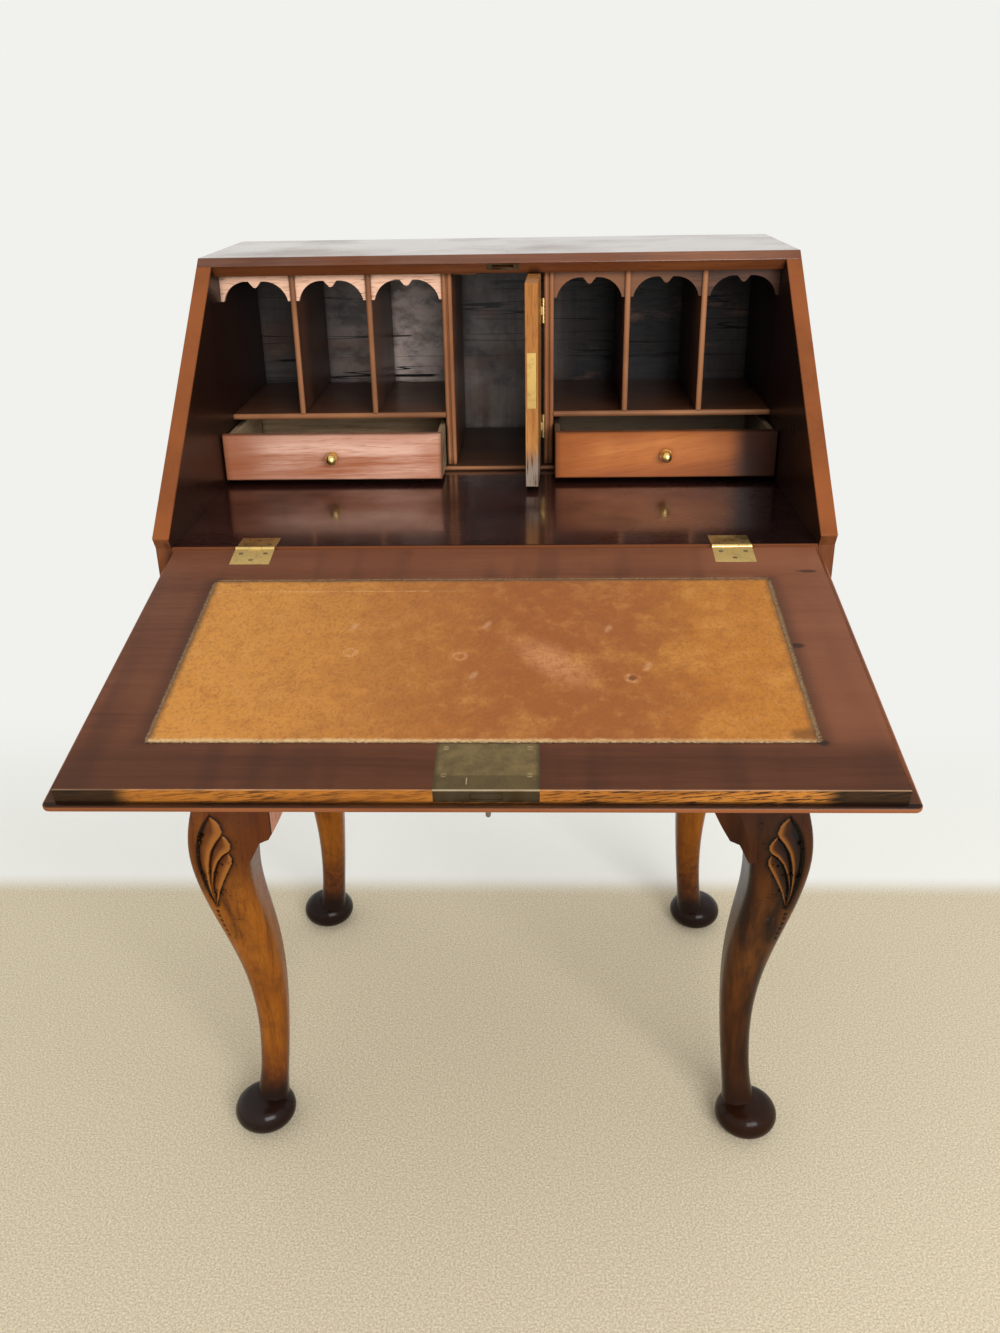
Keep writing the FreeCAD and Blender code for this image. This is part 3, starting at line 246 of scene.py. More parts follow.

# Back boards: horizontal planks fixed behind the fittings. Inside they have gone nearly black, split along
# the grain and rubbed grey in patches, with a painted sheen in the grey, a brighter painted sheen on the left
# and a painted shadow over the right; outside they are bare brown wood.

plank_tones = (0.016, 0.015, 0.017), (0.048, 0.043, 0.043), (0.100, 0.080, 0.070)
plank_grey_sheen = (0.30, 0.250, 0.225)
plank_rust = (0.110, 0.055, 0.036)
plank_painted_sheen = (0.66, 0.525, 0.470)
plank_right_shadow = (0.007, 0.007, 0.008)
bare_dark, bare_light = (0.060, 0.034, 0.020), (0.150, 0.092, 0.054)
scuffed_brown = (0.19, 0.100, 0.070)
split_black = (0.002, 0.002, 0.002)

planks, shader, place = new_finish("back_planks")
colour, height, cloud = grained(place, ACROSS, plank_tones, seed=6.0)
across, inward, _ = place.parts()
cracks = place.mapped(scale=(0.03, 1.0, 1.0)).noise(42, 3, 0.45) - 0.5
cracked = place.mapped(scale=(0.5, 1, 1)).noise(12, 2).rise(0.48, 0.54)
split = cracks.size().fall(0.002, 0.007) * cracked
scuff = place.mapped(scale=(0.4, 1, 1)).noise(26, 5, 0.7).rise(0.54, 0.70)
saw_marks = place.mapped(scale=(1, 1, 0.08)).noise(170, 3, 0.6)
in_cupboard = across.size().fall(0.03, 0.06)
far_left = across.fall(-0.30, -0.20)
# The grey patches are partly rubbed wood and partly a painted sheen.
rubbed_grey_and_sheen = place.noise(8, 2, 0.4).rise(0.40, 0.62) * (1.0 - far_left * 0.6)
rubbed_grey_and_sheen = rubbed_grey_and_sheen * (saw_marks.rise(0.25, 0.70) * 0.55 + 0.35)
rubbed_grey_and_sheen = rubbed_grey_and_sheen + in_cupboard * (place.noise(34, 4, 0.6).rise(0.36, 0.62) * 0.7 + 0.15)
colour = colour.turned_to(plank_grey_sheen, rubbed_grey_and_sheen * 0.55)
colour = colour.turned_to(plank_rust, place.noise(15, 3, 0.5).rise(0.48, 0.62) * 0.5)
# Painted sheen on the boards left of the cupboard.
left_of_cupboard = across.rise(-0.26, -0.10) * across.fall(-0.062, -0.056)
patchy = place.mapped(scale=(0.6, 1, 1)).noise(40, 5, 0.7).rise(0.34, 0.62) * 0.75 + 0.22
colour = colour.turned_to(plank_painted_sheen, left_of_cupboard * patchy)
# Painted shadow over the right half.
right_half = across.rise(0.04, 0.09)
colour = colour.turned_to(plank_right_shadow, right_half * 0.80)
_, back_face = span("back_boards", INWARD)
outside = inward.rise(back_face - 0.0020, back_face - 0.0010)
bare = height.rise(-0.6, 0.35).between(bare_dark, bare_light)
colour = colour.turned_to(bare, outside * 0.95)
colour = colour.turned_to(scuffed_brown, scuff * 0.6)
colour = colour.turned_to(split_black, split)
coat = (0.45 - right_half * 0.35) * (1.0 - outside)
varnish(shader, colour, height - split * 4.0 + scuff, cloud + outside * 0.8, polish=0.34,
        coat=coat, depth=0.0003)
dress(planks, "back_boards")

# Long drawer: a flush mahogany front glued to oak linings, with two turned brass knobs. It is hidden
# below the open fall, so its front is kept plain, with the same polish as the stiles and rails around it.

dress(wood("long_drawer_front", ACROSS, mahogany, polish=0.28, coat=0.25, seed=13.0), "long_drawer_front")
ease(0.0007, "long_drawer_front")

# Legs: four cabriole legs sawn from the solid, the knees rounded over and glued ears carrying the curve to
# the case. The front knees are carved on their outer corner with a leaf of overlapping lobes, cut inwards
# with gouges. The polish is golden on the shin, red on the knee and nearly black on the pad foot.


def piece(name, shape, material, body, slot, *stands_for):
    """Makes a shape into a piece that goes with a body and stands for CAD nodes."""
    mesh = bpy.data.meshes.new(name)
    shape.to_mesh(mesh)
    shape.free()
    mesh.materials.append(material)
    made = bpy.data.objects.new(name, mesh)
    bpy.context.scene.collection.objects.link(made)
    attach(made, body)
    if stands_for:
        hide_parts(*stands_for)
    return made


# The leaf is drawn in millimetres: sideways from the knee's corner, and up from the floor.
root = [(14, 341)]
vein_low = root + [(18, 370), (24.8, 390), (31.3, 404), (38.4, 413), (45.3, 418)]
vein_middle = root + [(15.5, 363), (18.6, 383.5), (22, 402.7), (25.8, 417.7), (31.2, 429), (36.5, 436.5)]
vein_outer = root + [(11.5, 366), (10.8, 387), (11, 406), (11.7, 423), (13, 437), (16.5, 450), (21.5, 459)]
leaf_lobes = [
    (root + [(26, 366.5), (34.5, 381), (41.5, 393), (47, 402.6), (48, 408.7), (45.5, 414)], vein_low),
    (vein_low + [(47.5, 422), (47, 427), (43.8, 432), (39, 435.7)], vein_middle),
    (vein_middle + [(37.5, 441), (33.5, 449), (28.2, 454), (22, 457)], vein_outer),
]
shin_nicks = [(11.5, 333), (10.5, 326), (10, 318), (9.5, 310), (9, 302), (8.5, 294)]
dark_line_below_root = [(23, 352), (25, 336), (25, 320), (22, 305), (17, 290)]
carving_foot, carving_top = 325, 476
knee_foot, knee_top = 0.285, 0.478
knee_corner_x, knee_corner_y = -0.320, -0.06157
finest_edge = 0.0011
leaf_depth, rim_depth, vein_depth, ground_depth, nick_depth = 5.0, 0.7, 1.6, 2.2, 1.6
nick_reach, dark_below_root_reach = 4.2, 8.0


def way_to(spot, line):
    """Distance from a spot to a line of corners."""
    nearest = math.inf
    for start, end in zip(line, line[1:]):
        start, end = Vector(start), Vector(end)
        share = max(0.0, min(1.0, (spot - start).dot(end - start) / (end - start).length_squared))
        nearest = min(nearest, (spot - start.lerp(end, share)).length)
    return nearest


def within(spot, outline):
    """Whether a line level with the spot crosses the outline an odd number of times on its right."""
    inside = False
    for (x0, z0), (x1, z1) in zip(outline, outline[1:] + outline[:1]):
        if (z0 > spot.y) != (z1 > spot.y) and spot.x < x0 + (spot.y - z0) / (z1 - z0) * (x1 - x0):
            inside = not inside
    return inside


def gouged(across, height, lit_share):
    """How deep, in millimetres, the gouge has cut at a spot on the knee, and how dark it is painted there:
    painted shade in grooves, nicks and recesses, darker along the shin below the root, and below 0 on a
    lobe's lit side, which is painted lighter.
    """
    spot = Vector((abs(across), height))
    fade = max(0.0, min(1.0, (carving_top - height) / 8, (height - carving_foot) / 25))
    for edge, vein in leaf_lobes:
        if within(spot, edge + vein[::-1]):
            from_edge, from_vein = way_to(spot, edge), way_to(spot, vein)
            share = from_edge / (from_edge + from_vein + 0.001)
            depth = leaf_depth * share ** 1.5 + rim_depth * math.exp(-from_edge / 0.7)
            return depth * fade, 1.9 * (share - lit_share)
    to_edge = min(way_to(spot, edge) for edge, _ in leaf_lobes)
    to_outer = way_to(spot, vein_outer)
    nick = max(0.0, 1 - min((spot - Vector(at)).length for at in shin_nicks) / nick_reach)
    dark_below_root = 0.46 * math.exp(-way_to(spot, dark_line_below_root) / dark_below_root_reach)
    if to_outer <= to_edge + 0.01:
        depth = vein_depth * math.exp(-to_outer / 1.6) * fade
        dirt_and_shade = 0.9 * math.exp(-to_outer / 1.8)
    else:
        depth = ground_depth * math.exp(-to_edge / 7.0) * fade
        dirt_and_shade = 0.85 * math.exp(-to_edge / 3.5)
    return max(depth, nick_depth * nick), max(dirt_and_shade, dark_below_root, 0.9 * nick)


leg_tones = (0.080, 0.020, 0.003), (0.225, 0.066, 0.005), (0.35, 0.118, 0.010)
blotch_brown = (0.085, 0.024, 0.005)
knee_red = (0.062, 0.013, 0.004)
ankle_red = (0.070, 0.016, 0.006)
rear_ankle_brown = (0.045, 0.013, 0.005)
foot_black = (0.011, 0.005, 0.004)
right_leg_shade_brown = (0.020, 0.006, 0.002)
lobe_lit_gold = (0.31, 0.112, 0.020)
groove_shadow_black = (0.005, 0.003, 0.002)
pieced_dark, pieced_light = (0.20, 0.075, 0.045), (0.42, 0.215, 0.150)
glue_black = (0.012, 0.005, 0.003)
ear_joint = -0.2410

legs, shader, place = new_finish("polished_legs")
colour, height, cloud = grained(place, UPWARD, leg_tones, seed=15.0)
across, inward, level = place.parts()
up = level + cloud * 0.04 - 0.02
colour = colour.turned_to(blotch_brown, place.noise(24, 5, 0.7).rise(0.50, 0.68) * 0.45)
colour = colour.turned_to(knee_red, up.rise(0.335, 0.420) * (across.rise(-0.332, -0.285) * 0.50 + 0.32))
mottled = place.noise(70, 4, 0.7).rise(0.35, 0.62)
colour = colour.turned_to(ankle_red, up.fall(0.055, 0.140) * (mottled * 0.45 + 0.45))
at_rear = inward.rise(0.15, 0.25)
colour = colour.turned_to(rear_ankle_brown, at_rear * up.fall(0.070, 0.210) * (mottled * 0.5 + 0.35))
foot = up.fall(0.042, 0.084)
colour = colour.turned_to(foot_black, foot * 0.98)
streaky = place.mapped(scale=(1, 1, 0.15)).noise(45, 3).rise(0.35, 0.65) * 0.35 + 0.65
# The right front leg is painted darker, broken by streaks: a painted shade on the leg turned away from the
# light.
right_front_leg_shade = across.rise(0.2, 0.25) * inward.fall(0.1, 0.2)
colour = colour.turned_to(right_leg_shade_brown, right_front_leg_shade * streaky)
cut = place.node("Attribute", {}, out="Fac", attribute_name="dirt_and_shade")
# Painted light and shade of the carving: the lit side of each lobe is painted a lighter gold, the grooves and
# recesses nearly black as in shadow.
colour = colour.turned_to(lobe_lit_gold, cut.fall(-0.80, 0.0) * 0.80)
colour = colour.turned_to(groove_shadow_black, cut.rise(0.05, 0.65) * 0.96)
at_front = inward.fall(0.0, 0.1)
pieced_end = across.rise(ear_joint + 0.0004, ear_joint + 0.0008) * across.fall(-0.20, -0.19) * at_front
paler_wood = height.rise(-0.3, 0.3).between(pieced_dark, pieced_light)
colour = colour.turned_to(paler_wood, pieced_end * 0.85)
glue_line = (across - ear_joint).size().fall(0.0003, 0.0008) * at_front * up.rise(0.43, 0.44)
colour = colour.turned_to(glue_black, glue_line * 0.9)
varnish(shader, colour, height, cloud - foot * 0.2, polish=0.24, coat=foot * 0.25 + 0.12)
dress(legs, "leg_rear_left", "leg_rear_right", "leg_ears")


def carved_leg(node, outward, lit_share, painted_shade_strength):
    """A front leg with its knee carved; outward is the way its outer corner points."""
    shape = bmesh.new()
    shape.from_mesh(nodes[node].data)
    bmesh.ops.remove_doubles(shape, verts=shape.verts, dist=0.00001)

    def on_knee(spot):
        return knee_foot < spot.co.z < knee_top and spot.normal.dot(outward) > 0.1

    def too_long(edge):
        return edge.calc_length() > finest_edge and all(map(on_knee, edge.verts))

    for _ in range(6):
        bmesh.ops.subdivide_edges(shape, edges=list(filter(too_long, shape.edges)), cuts=1)
        bmesh.ops.triangulate(shape, faces=[face for face in shape.faces if len(face.verts) > 3])
        shape.normal_update()
    dirt_and_shade = shape.verts.layers.float.new("dirt_and_shade")
    moves = []
    for spot in filter(on_knee, shape.verts):
        facing = max(0.0, min(1.0, (spot.normal.dot(outward) - 0.15) / 0.3))
        across = (-abs(spot.co.x) - knee_corner_x) - (spot.co.y - knee_corner_y)
        depth, grime_and_shade = gouged(across * 1000, spot.co.z * 1000, lit_share)
        # The attribute holds painted shade, weaker on the knee that faces the light, and painted light below
        # 0.
        spot[dirt_and_shade] = min(grime_and_shade, grime_and_shade * painted_shade_strength)
        moves.append((spot, spot.normal * (facing * depth / 1000)))
    for spot, move in moves:
        spot.co -= move
    for face in shape.faces:
        face.smooth = True
    for edge in shape.edges:
        edge.smooth = edge.calc_face_angle(0) < math.radians(45)
    piece(node + "_carved", shape, legs, "case", "case_mahogany", node)


carved_leg("leg_front_left", Vector((-1, -1, 0)).normalized(), lit_share=0.56, painted_shade_strength=0.80)
carved_leg("leg_front_right", Vector((1, -1, 0)).normalized(), lit_share=0.37, painted_shade_strength=1.0)

# Writing bed: one wide mahogany board fixed between the sides, level with the hinges, stained nearly black
# and polished so often that the drawer fronts are mirrored in it. Its front edge has the colour of the case.

bed_tones = (0.014, 0.004, 0.004), (0.032, 0.010, 0.008), (0.058, 0.020, 0.016)
bed_right_shadow = (0.006, 0.003, 0.003)
bed_front, _ = span("writing_bed", INWARD)
edge_deep = 0.00287
bed, shader, place = new_finish("writing_bed")
colour, height, cloud = grained(place, ACROSS, bed_tones, seed=17.0)
across, inward, _ = place.parts()
# Painted shadow: the bed is darker towards its right side.
colour = colour.turned_to(bed_right_shadow, across.rise(0.15, 0.27) * 0.75)
colour = colour.turned_to(mahogany[1], (inward - bed_front).fall(edge_deep, edge_deep + 0.0006))
coat = (inward - bed_front).rise(edge_deep + 0.0002, edge_deep + 0.0062)
varnish(shader, colour, height, cloud, polish=0.26, coat=coat)
place.feed(shader, {"Coat IOR": 1.9})
dress(bed, "writing_bed")

# Fittings: thin mahogany shelves and dividers housed in each other, their front edges rounded and rubbed
# pale, arched valances glued under the top, reeded posts beside the cupboard, and a base board with a nosing.

fitting_tones = (0.040, 0.014, 0.007), (0.090, 0.034, 0.016), (0.150, 0.064, 0.030)
post_tones = (0.07, 0.022, 0.009), (0.18, 0.062, 0.024), (0.28, 0.11, 0.046)
base_tones = (0.03, 0.012, 0.006), (0.08, 0.032, 0.015), (0.16, 0.07, 0.034)
valance_tones = (0.042, 0.016, 0.009), (0.092, 0.039, 0.022), (0.16, 0.072, 0.042)
recess_shade_black = (0.010, 0.004, 0.003)
rubbed_edge = (0.39, 0.168, 0.076)
valance_lit_brown = (0.34, 0.140, 0.060)
valance_painted_glare = (0.88, 0.540, 0.380)


def rubbed(name, grain, tones, *boards, depth_shade, seed):
    """Finishes boards that are rubbed pale along their front edge; depth_shade is how much painted shade
    darkens them further back.
    """
    material, shader, place = new_finish(name)
    front, _ = span(boards[0], INWARD)
    colour, height, cloud = grained(place, grain, tones, seed)
    _, inward, _ = place.parts()
    # Painted shade: the boards darken towards the back, deep in the pigeonholes.
    colour = colour.turned_to(recess_shade_black, inward.rise(front + 0.004, front + 0.090) * depth_shade)
    edge = inward.fall(front + 0.001, front + 0.004)
    colour = colour.turned_to(rubbed_edge, edge * (cloud.rise(0.3, 0.65) * 0.5 + 0.4))
    varnish(shader, colour, height, cloud, polish=0.34, coat=0.08)
    dress(material, *boards)


rubbed("shelf_boards", ACROSS, fitting_tones, "shelves", depth_shade=0.25, seed=21.0)
rubbed("divider_boards", UPWARD, fitting_tones, "dividers", depth_shade=0.65, seed=22.0)
rubbed("cupboard_posts", UPWARD, post_tones, "upright_left", "upright_right", depth_shade=0.65, seed=23.0)
rubbed("base_board", ACROSS, base_tones, "fittings_base", depth_shade=0.30, seed=24.0)

valances, shader, place = new_finish("valance_boards")
colour, height, cloud = grained(place, ACROSS, valance_tones, seed=25.0)
across, _, _ = place.parts()
# Painted light and shade: lighter towards the left, palest on the left as a painted glare; the rightmost keep
# the dark tones as in shade.
colour = colour.turned_to(valance_lit_brown, across.fall(0.10, 0.24) * 0.55)
colour = colour.turned_to(valance_painted_glare, across.fall(-0.07, 0.0) * (height * 0.7 + 0.78))
varnish(shader, colour, height, cloud, polish=0.34, coat=0.2)
dress(valances, "valances")
ease(0.0005, "valances")

# Small drawers: mahogany fronts with a slight bevel, glued to oak sides, back and bottom, with a turned brass
# knob each. The left front is pinker and painted lighter with a painted glare, the right one has a slanting
# figure and a painted shadow over its right end, and the oak of the left drawer is painted lighter and that
# of the right one darker, as light and shade fall on them.

# The left drawer's oak is painted lighter and the right drawer's darker: painted light and shade.
drawer_oak_lit_and_shaded = {
    "left": ((0.130, 0.086, 0.048), (0.370, 0.255, 0.150), (0.54, 0.390, 0.240)),
    "right": ((0.060, 0.042, 0.026), (0.160, 0.115, 0.074), (0.27, 0.200, 0.130)),
}
for hand, tones in drawer_oak_lit_and_shaded.items():
    dress(wood(hand + "_linings_deep", INWARD, tones, polish=0.60, coat=0.05, seed=31.0),
          hand + "_drawer_sides")
    dress(wood(hand + "_linings_wide", ACROSS, tones, polish=0.60, coat=0.05, seed=32.0),
          hand + "_drawer_back", hand + "_drawer_bottom")

left_front_tones_with_glare = (0.34, 0.108, 0.046), (0.73, 0.435, 0.330), (0.84, 0.565, 0.445)
right_front_tones = (0.24, 0.062, 0.015), (0.40, 0.118, 0.026), (0.53, 0.190, 0.047)
handled_edge = (0.085, 0.030, 0.013)
right_end_shadow = (0.022, 0.008, 0.006)


def drawer_front(name, board, tones, slant, dark_left, dark_right, seed):
    """Finishes a drawer front that is paler in the middle and darker along its edges and ends; dark_right
    sets a painted shadow over the right end.
    """
    material, shader, place = new_finish(name)
    left, right = span(board, ACROSS)
    foot, top = span(board, UPWARD)
    colour, height, cloud = grained(place.mapped(rotation=(0, slant, 0)), ACROSS, tones, seed)
    across, _, up = place.parts()
    from_ends = ((across - left) * 0.6).least(right - across)
    from_rim = from_ends.least((up - foot).least(top - up) * 2.0)
    colour = colour.turned_to(tones[0], (from_rim + cloud * 0.06).fall(0.030, 0.075) * 0.6)
    colour = colour.turned_to(handled_edge, (from_rim + cloud * 0.006).fall(0.002, 0.008) * 0.75)
    # Painted shadow over the right end of the front.
    right_end = (across + cloud * 0.02).rise(right - 0.048, right - 0.022)
    colour = colour.turned_to(right_end_shadow, right_end * dark_right)
    colour = colour.turned_to(tones[0], across.fall(left + 0.012, left + 0.060) * dark_left)
    varnish(shader, colour, height, cloud, polish=0.32, coat=0.12)
    dress(material, board)


# The left front's tones carry a painted glare as well as the wood's pink.
drawer_front("left_front", "left_drawer_front", left_front_tones_with_glare, slant=0.02, dark_left=0.65, dark_right=0.0,
             seed=33.0)
drawer_front("right_front_leg_shade", "right_drawer_front", right_front_tones, slant=0.16, dark_left=0.0,
             dark_right=0.93, seed=34.0)
ease(0.0006, "left_drawer_front", "right_drawer_front", "left_drawer_sides", "right_drawer_sides",
     "left_drawer_back", "right_drawer_back")

# Cupboard door: a golden oak board hung on two small brass hinges and standing open, coarse-grained, its foot
# stained dark by damp and worn grey, and the small strip glued under the top on which it shuts.

door_tones = (0.100, 0.030, 0.008), (0.36, 0.140, 0.032), (0.58, 0.275, 0.085)
damp_brown = (0.050, 0.026, 0.014)
worn_grey = (0.36, 0.300, 0.250)
door_oak, shader, place = new_finish("door_oak")
colour, height, cloud = grained(place, UPWARD, door_tones, seed=41.0)
_, _, up = place.parts()
damp = (up + cloud * 0.05).fall(0.800, 0.840)
colour = colour.turned_to(damp_brown, damp * 0.8)
colour = colour.turned_to(worn_grey, damp * height.rise(-0.1, 0.2) * 0.6)
varnish(shader, colour, height, cloud, polish=0.48, coat=0.15, depth=0.0003)
dress(door_oak, "door_panel", "door_stop")
ease(0.0007, "door_panel", "door_stop")

# Fall: a clamped mahogany panel with a rebated lip, hung on two butt hinges. Its inside is dark red-brown
# with soft bands across the grain. The front edge shows golden oak under the veneer, stained black at both
# ends, and the lip below it is rubbed orange.

hinge = Vector(next(joint["pos_m"] for joint in frame["joints"] if joint["name"] == "fall_hinge"))
droop = math.radians(10.4)
fall_frame = Matrix.Translation(hinge) @ Matrix.Rotation(droop, 4, "X")


def on_fall(place):
    """Place measured along the fall: across, out from the hinge, and up from its inner face."""
    back_turn = Matrix.Rotation(-droop, 3, "X")
    laid = place.mapped(location=-(back_turn @ hinge), rotation=(-droop, 0, 0))
    across, inward, up = laid.parts()
    return laid, across, -inward, up


def mark(across, out, fuzz, centre_x, centre_out, wide, long, slant=0.0):
    """0 at the middle of a mark on the fall, 1 at its fuzzy rim; slant turns the mark's long way."""
    x, y = across - centre_x, out - centre_out
    run = (x * math.cos(slant) + y * math.sin(slant)) * (1 / wide)
    beside = (y * math.cos(slant) - x * math.sin(slant)) * (1 / long)
    return x.math("SQRT", run * run + beside * beside) + (fuzz - 0.5) * 0.8


veneer_tones = (0.085, 0.026, 0.011), (0.128, 0.041, 0.017), (0.175, 0.062, 0.028)
edge_oak_tones = (0.16, 0.048, 0.008), (0.36, 0.130, 0.020), (0.54, 0.235, 0.050)
band_brown = (0.034, 0.012, 0.007)
front_brown = (0.045, 0.015, 0.007)
faded_red = (0.27, 0.095, 0.045)
streak_brown = (0.028, 0.010, 0.005)
stain_black = (0.010, 0.007, 0.005)
lip_orange = (0.230, 0.075, 0.026)
quirk_black = (0.008, 0.004, 0.003)
arris_pale = (0.50, 0.300, 0.180)
halo_brown = (0.030, 0.012, 0.007)
spot_black = (0.010, 0.006, 0.005)
tongue_edge, tongue_half, lip_top = 0.3410, 0.2990, -0.0116
suede_side = 0.247
spots = (0.254, 0.165, 0.007, 0.004), (0.284, 0.047, 0.011, 0.003), (0.250, 0.290, 0.005, 0.004)

fall_wood, shader, place = new_finish("fall_veneer")
laid, across, out, up = on_fall(place)
colour, height, cloud = grained(laid, ACROSS, veneer_tones, seed=51.0)
bands = laid.mapped(scale=(1, 0.12, 1)).noise(30, 2, 0.5)
colour = colour.turned_to(band_brown, bands.rise(0.48, 0.68) * 0.38)
colour = colour.turned_to(front_brown, out.rise(0.270, 0.310) * 0.45)
faded = across.rise(0.16, 0.29) * out.fall(0.27, 0.31) + out.fall(0.030, 0.055) * 0.5
colour = colour.turned_to(faded_red, faded * (cloud * 0.5 + 0.2))
inner_face = up.rise(-0.0030, -0.0010)
outer, _, _ = grained(laid, ACROSS, mahogany, seed=53.0)
colour = colour.turned_to(outer, 1.0 - inner_face)
slanted = laid.mapped(rotation=(0, 0.12, 0))
oak, _, blot = grained(slanted, ACROSS, edge_oak_tones, seed=52.0)
dark_lines = slanted.mapped(scale=(0.07, 1, 1)).noise(620, 3, 0.7).fall(0.43, 0.50)
oak = oak.turned_to(streak_brown, dark_lines * (blot.rise(0.3, 0.6) * 0.6 + 0.35))
ends = (across.size() + blot * 0.03).rise(0.252, 0.272)
oak = oak.turned_to(stain_black, ends * 0.94)
above_lip = up.rise(lip_top, lip_top + 0.0004)
corner = across.size().rise(tongue_half, tongue_half + 0.0006) * out.rise(0.312, 0.332) * above_lip
colour = colour.turned_to(stain_black, corner * 0.9)
colour = colour.turned_to(oak, out.rise(tongue_edge, tongue_edge + 0.0004) * above_lip)
lip = up.fall(-0.0114, -0.0108) * up.rise(-0.0168, -0.0150)
colour = colour.turned_to(lip_orange, lip * (cloud.rise(0.25, 0.6) * 0.5 + 0.4))
quirk = out.rise(0.3416, 0.3422) * (up + 0.0108).size().fall(0.0008, 0.0016) * (cloud * 0.6 + 0.6)
colour = colour.turned_to(quirk_black, quirk * 0.95)
# A pale line along the arris: partly wear, partly a painted highlight.
arris = out.rise(0.3408, 0.3416) * up.rise(0.0002, 0.0008) * (cloud.rise(0.3, 0.6) * 0.45 + 0.15)
colour = colour.turned_to(arris_pale, arris)
beside_suede = (across.size() - suede_side).size().fall(0.002, 0.016)
beside_suede = beside_suede * out.rise(0.05, 0.06) * out.fall(0.288, 0.300)
colour = colour.turned_to(halo_brown, beside_suede * inner_face * (cloud * 0.8 + 0.1))
fuzz = laid.noise(160, 4, 0.7)
for spot in spots:
    colour = colour.turned_to(spot_black, mark(across, out, fuzz, *spot).fall(0.5, 1.1) * inner_face * 0.7)
varnish(shader, colour, height, cloud, polish=0.36, coat=0.05)
dress(fall_wood, "fall_panel")

# Writing surface: a sheet of tan suede cloth glued into a shallow recess of the fall. The nap is rubbed and
# faded in patches, and the cut edge has frayed into a pale line of short fibres.

suede_wide, suede_near, suede_far = 0.4934, 0.0600, 0.28894
suede_long = suede_far - suede_near
left_tan, middle_tan, right_tan = (0.55, 0.235, 0.046), (0.30, 0.093, 0.021), (0.44, 0.165, 0.024)
faded_tan = (0.62, 0.290, 0.070)
mottle_light, mottle_dark = (0.60, 0.280, 0.075), (0.27, 0.088, 0.024)
scuff_pink = (0.60, 0.270, 0.115)
ring_pale, nick_pale, crease_pale = (0.64, 0.320, 0.150), (0.68, 0.400, 0.230), (0.66, 0.380, 0.170)
dark_spot_brown = (0.08, 0.040, 0.022)
rim_brown, corner_brown = (0.150, 0.068, 0.022), (0.085, 0.034, 0.014)
cut_pale = (0.60, 0.400, 0.190)
nap_shadow = (0.20, 0.070, 0.020)
dark_spot = 0.117, 0.210, 0.0036, 0.0036
dirty_corner = 0.240, 0.282, 0.016, 0.012
long_scuff, scuff_slant = (0.056, 0.188, 0.052, 0.022), 0.85
ring_size, nick_size, nick_slant = (0.0050, 0.0050), (0.003, 0.007), 0.4
rings = (-0.1105, 0.174), (-0.020, 0.179), (0.117, 0.210)
nicks = (-0.112, 0.136), (0.000, 0.134), (0.102, 0.140), (-0.008, 0.206), (0.130, 0.195)

suede, shader, place = new_finish("rubbed_suede")
laid, across, out, _ = on_fall(place)
cloud = laid.noise(14, 5, 0.65)
nap = laid.mapped(scale=(1, 0.7, 1)).noise(430, 3, 0.75)
tuft = laid.noise(120, 5, 0.75)
mottle = laid.noise(48, 4, 0.7)
colour = (across + cloud * 0.25).rise(-0.11, 0.17).between(left_tan, middle_tan)
colour = colour.turned_to(right_tan, (across + cloud * 0.2).rise(0.20, 0.32))
colour = colour.turned_to(faded_tan, cloud.rise(0.50, 0.72) * 0.4)
colour = colour.turned_to(mottle_light, mottle.rise(0.48, 0.74) * 0.3)
colour = colour.turned_to(mottle_dark, mottle.fall(0.32, 0.50) * 0.25 + tuft.fall(0.34, 0.50) * 0.2)
scuff = mark(across, out, tuft, *long_scuff, slant=scuff_slant).fall(0.3, 1.15)
colour = colour.turned_to(scuff_pink, scuff * tuft.rise(0.25, 0.6) * 0.6)
for centre in rings:
    ring = (mark(across, out, tuft, *centre, *ring_size) - 1.0).size().fall(0.15, 0.5)
    colour = colour.turned_to(ring_pale, ring * tuft.rise(0.3, 0.6) * 0.5)
colour = colour.turned_to(dark_spot_brown, mark(across, out, tuft, *dark_spot).fall(0.5, 1.0) * 0.6)
for centre in nicks:
    nick = mark(across, out, tuft, *centre, *nick_size, slant=nick_slant).fall(0.3, 1.4)
    colour = colour.turned_to(nick_pale, nick * 0.3)
crease = (out - 0.0790).size().fall(0.0004, 0.0012) * across.fall(-0.06, 0.0) * tuft.rise(0.35, 0.6)
colour = colour.turned_to(crease_pale, crease * 0.5)
from_rim = (suede_wide / 2 - across.size()).least(out - suede_near) - tuft * 0.010
colour = colour.turned_to(rim_brown, from_rim.fall(-0.005, 0.001) * 0.8)
colour = colour.turned_to(corner_brown, mark(across, out, tuft, *dirty_corner).fall(0.3, 1.1) * 0.6)
cut_edge = (suede_far - out - tuft * 0.006).fall(-0.002, 0.002)
colour = colour.turned_to(cut_pale, cut_edge * (across.fall(-0.1, 0.25) * 0.5 + 0.4))
colour = colour.turned_to(nap_shadow, nap.fall(0.34, 0.54) * 0.40)
bump = colour.node("Bump", {"Strength": 0.7, "Distance": 0.0006, "Height": nap + tuft})
colour.feed(shader, {"Base Color": colour, "Roughness": nap * 0.2 + 0.75, "Normal": bump,
                     "Sheen Weight": 0.10, "Sheen Roughness": 0.4, "Specular IOR Level": 0.15})

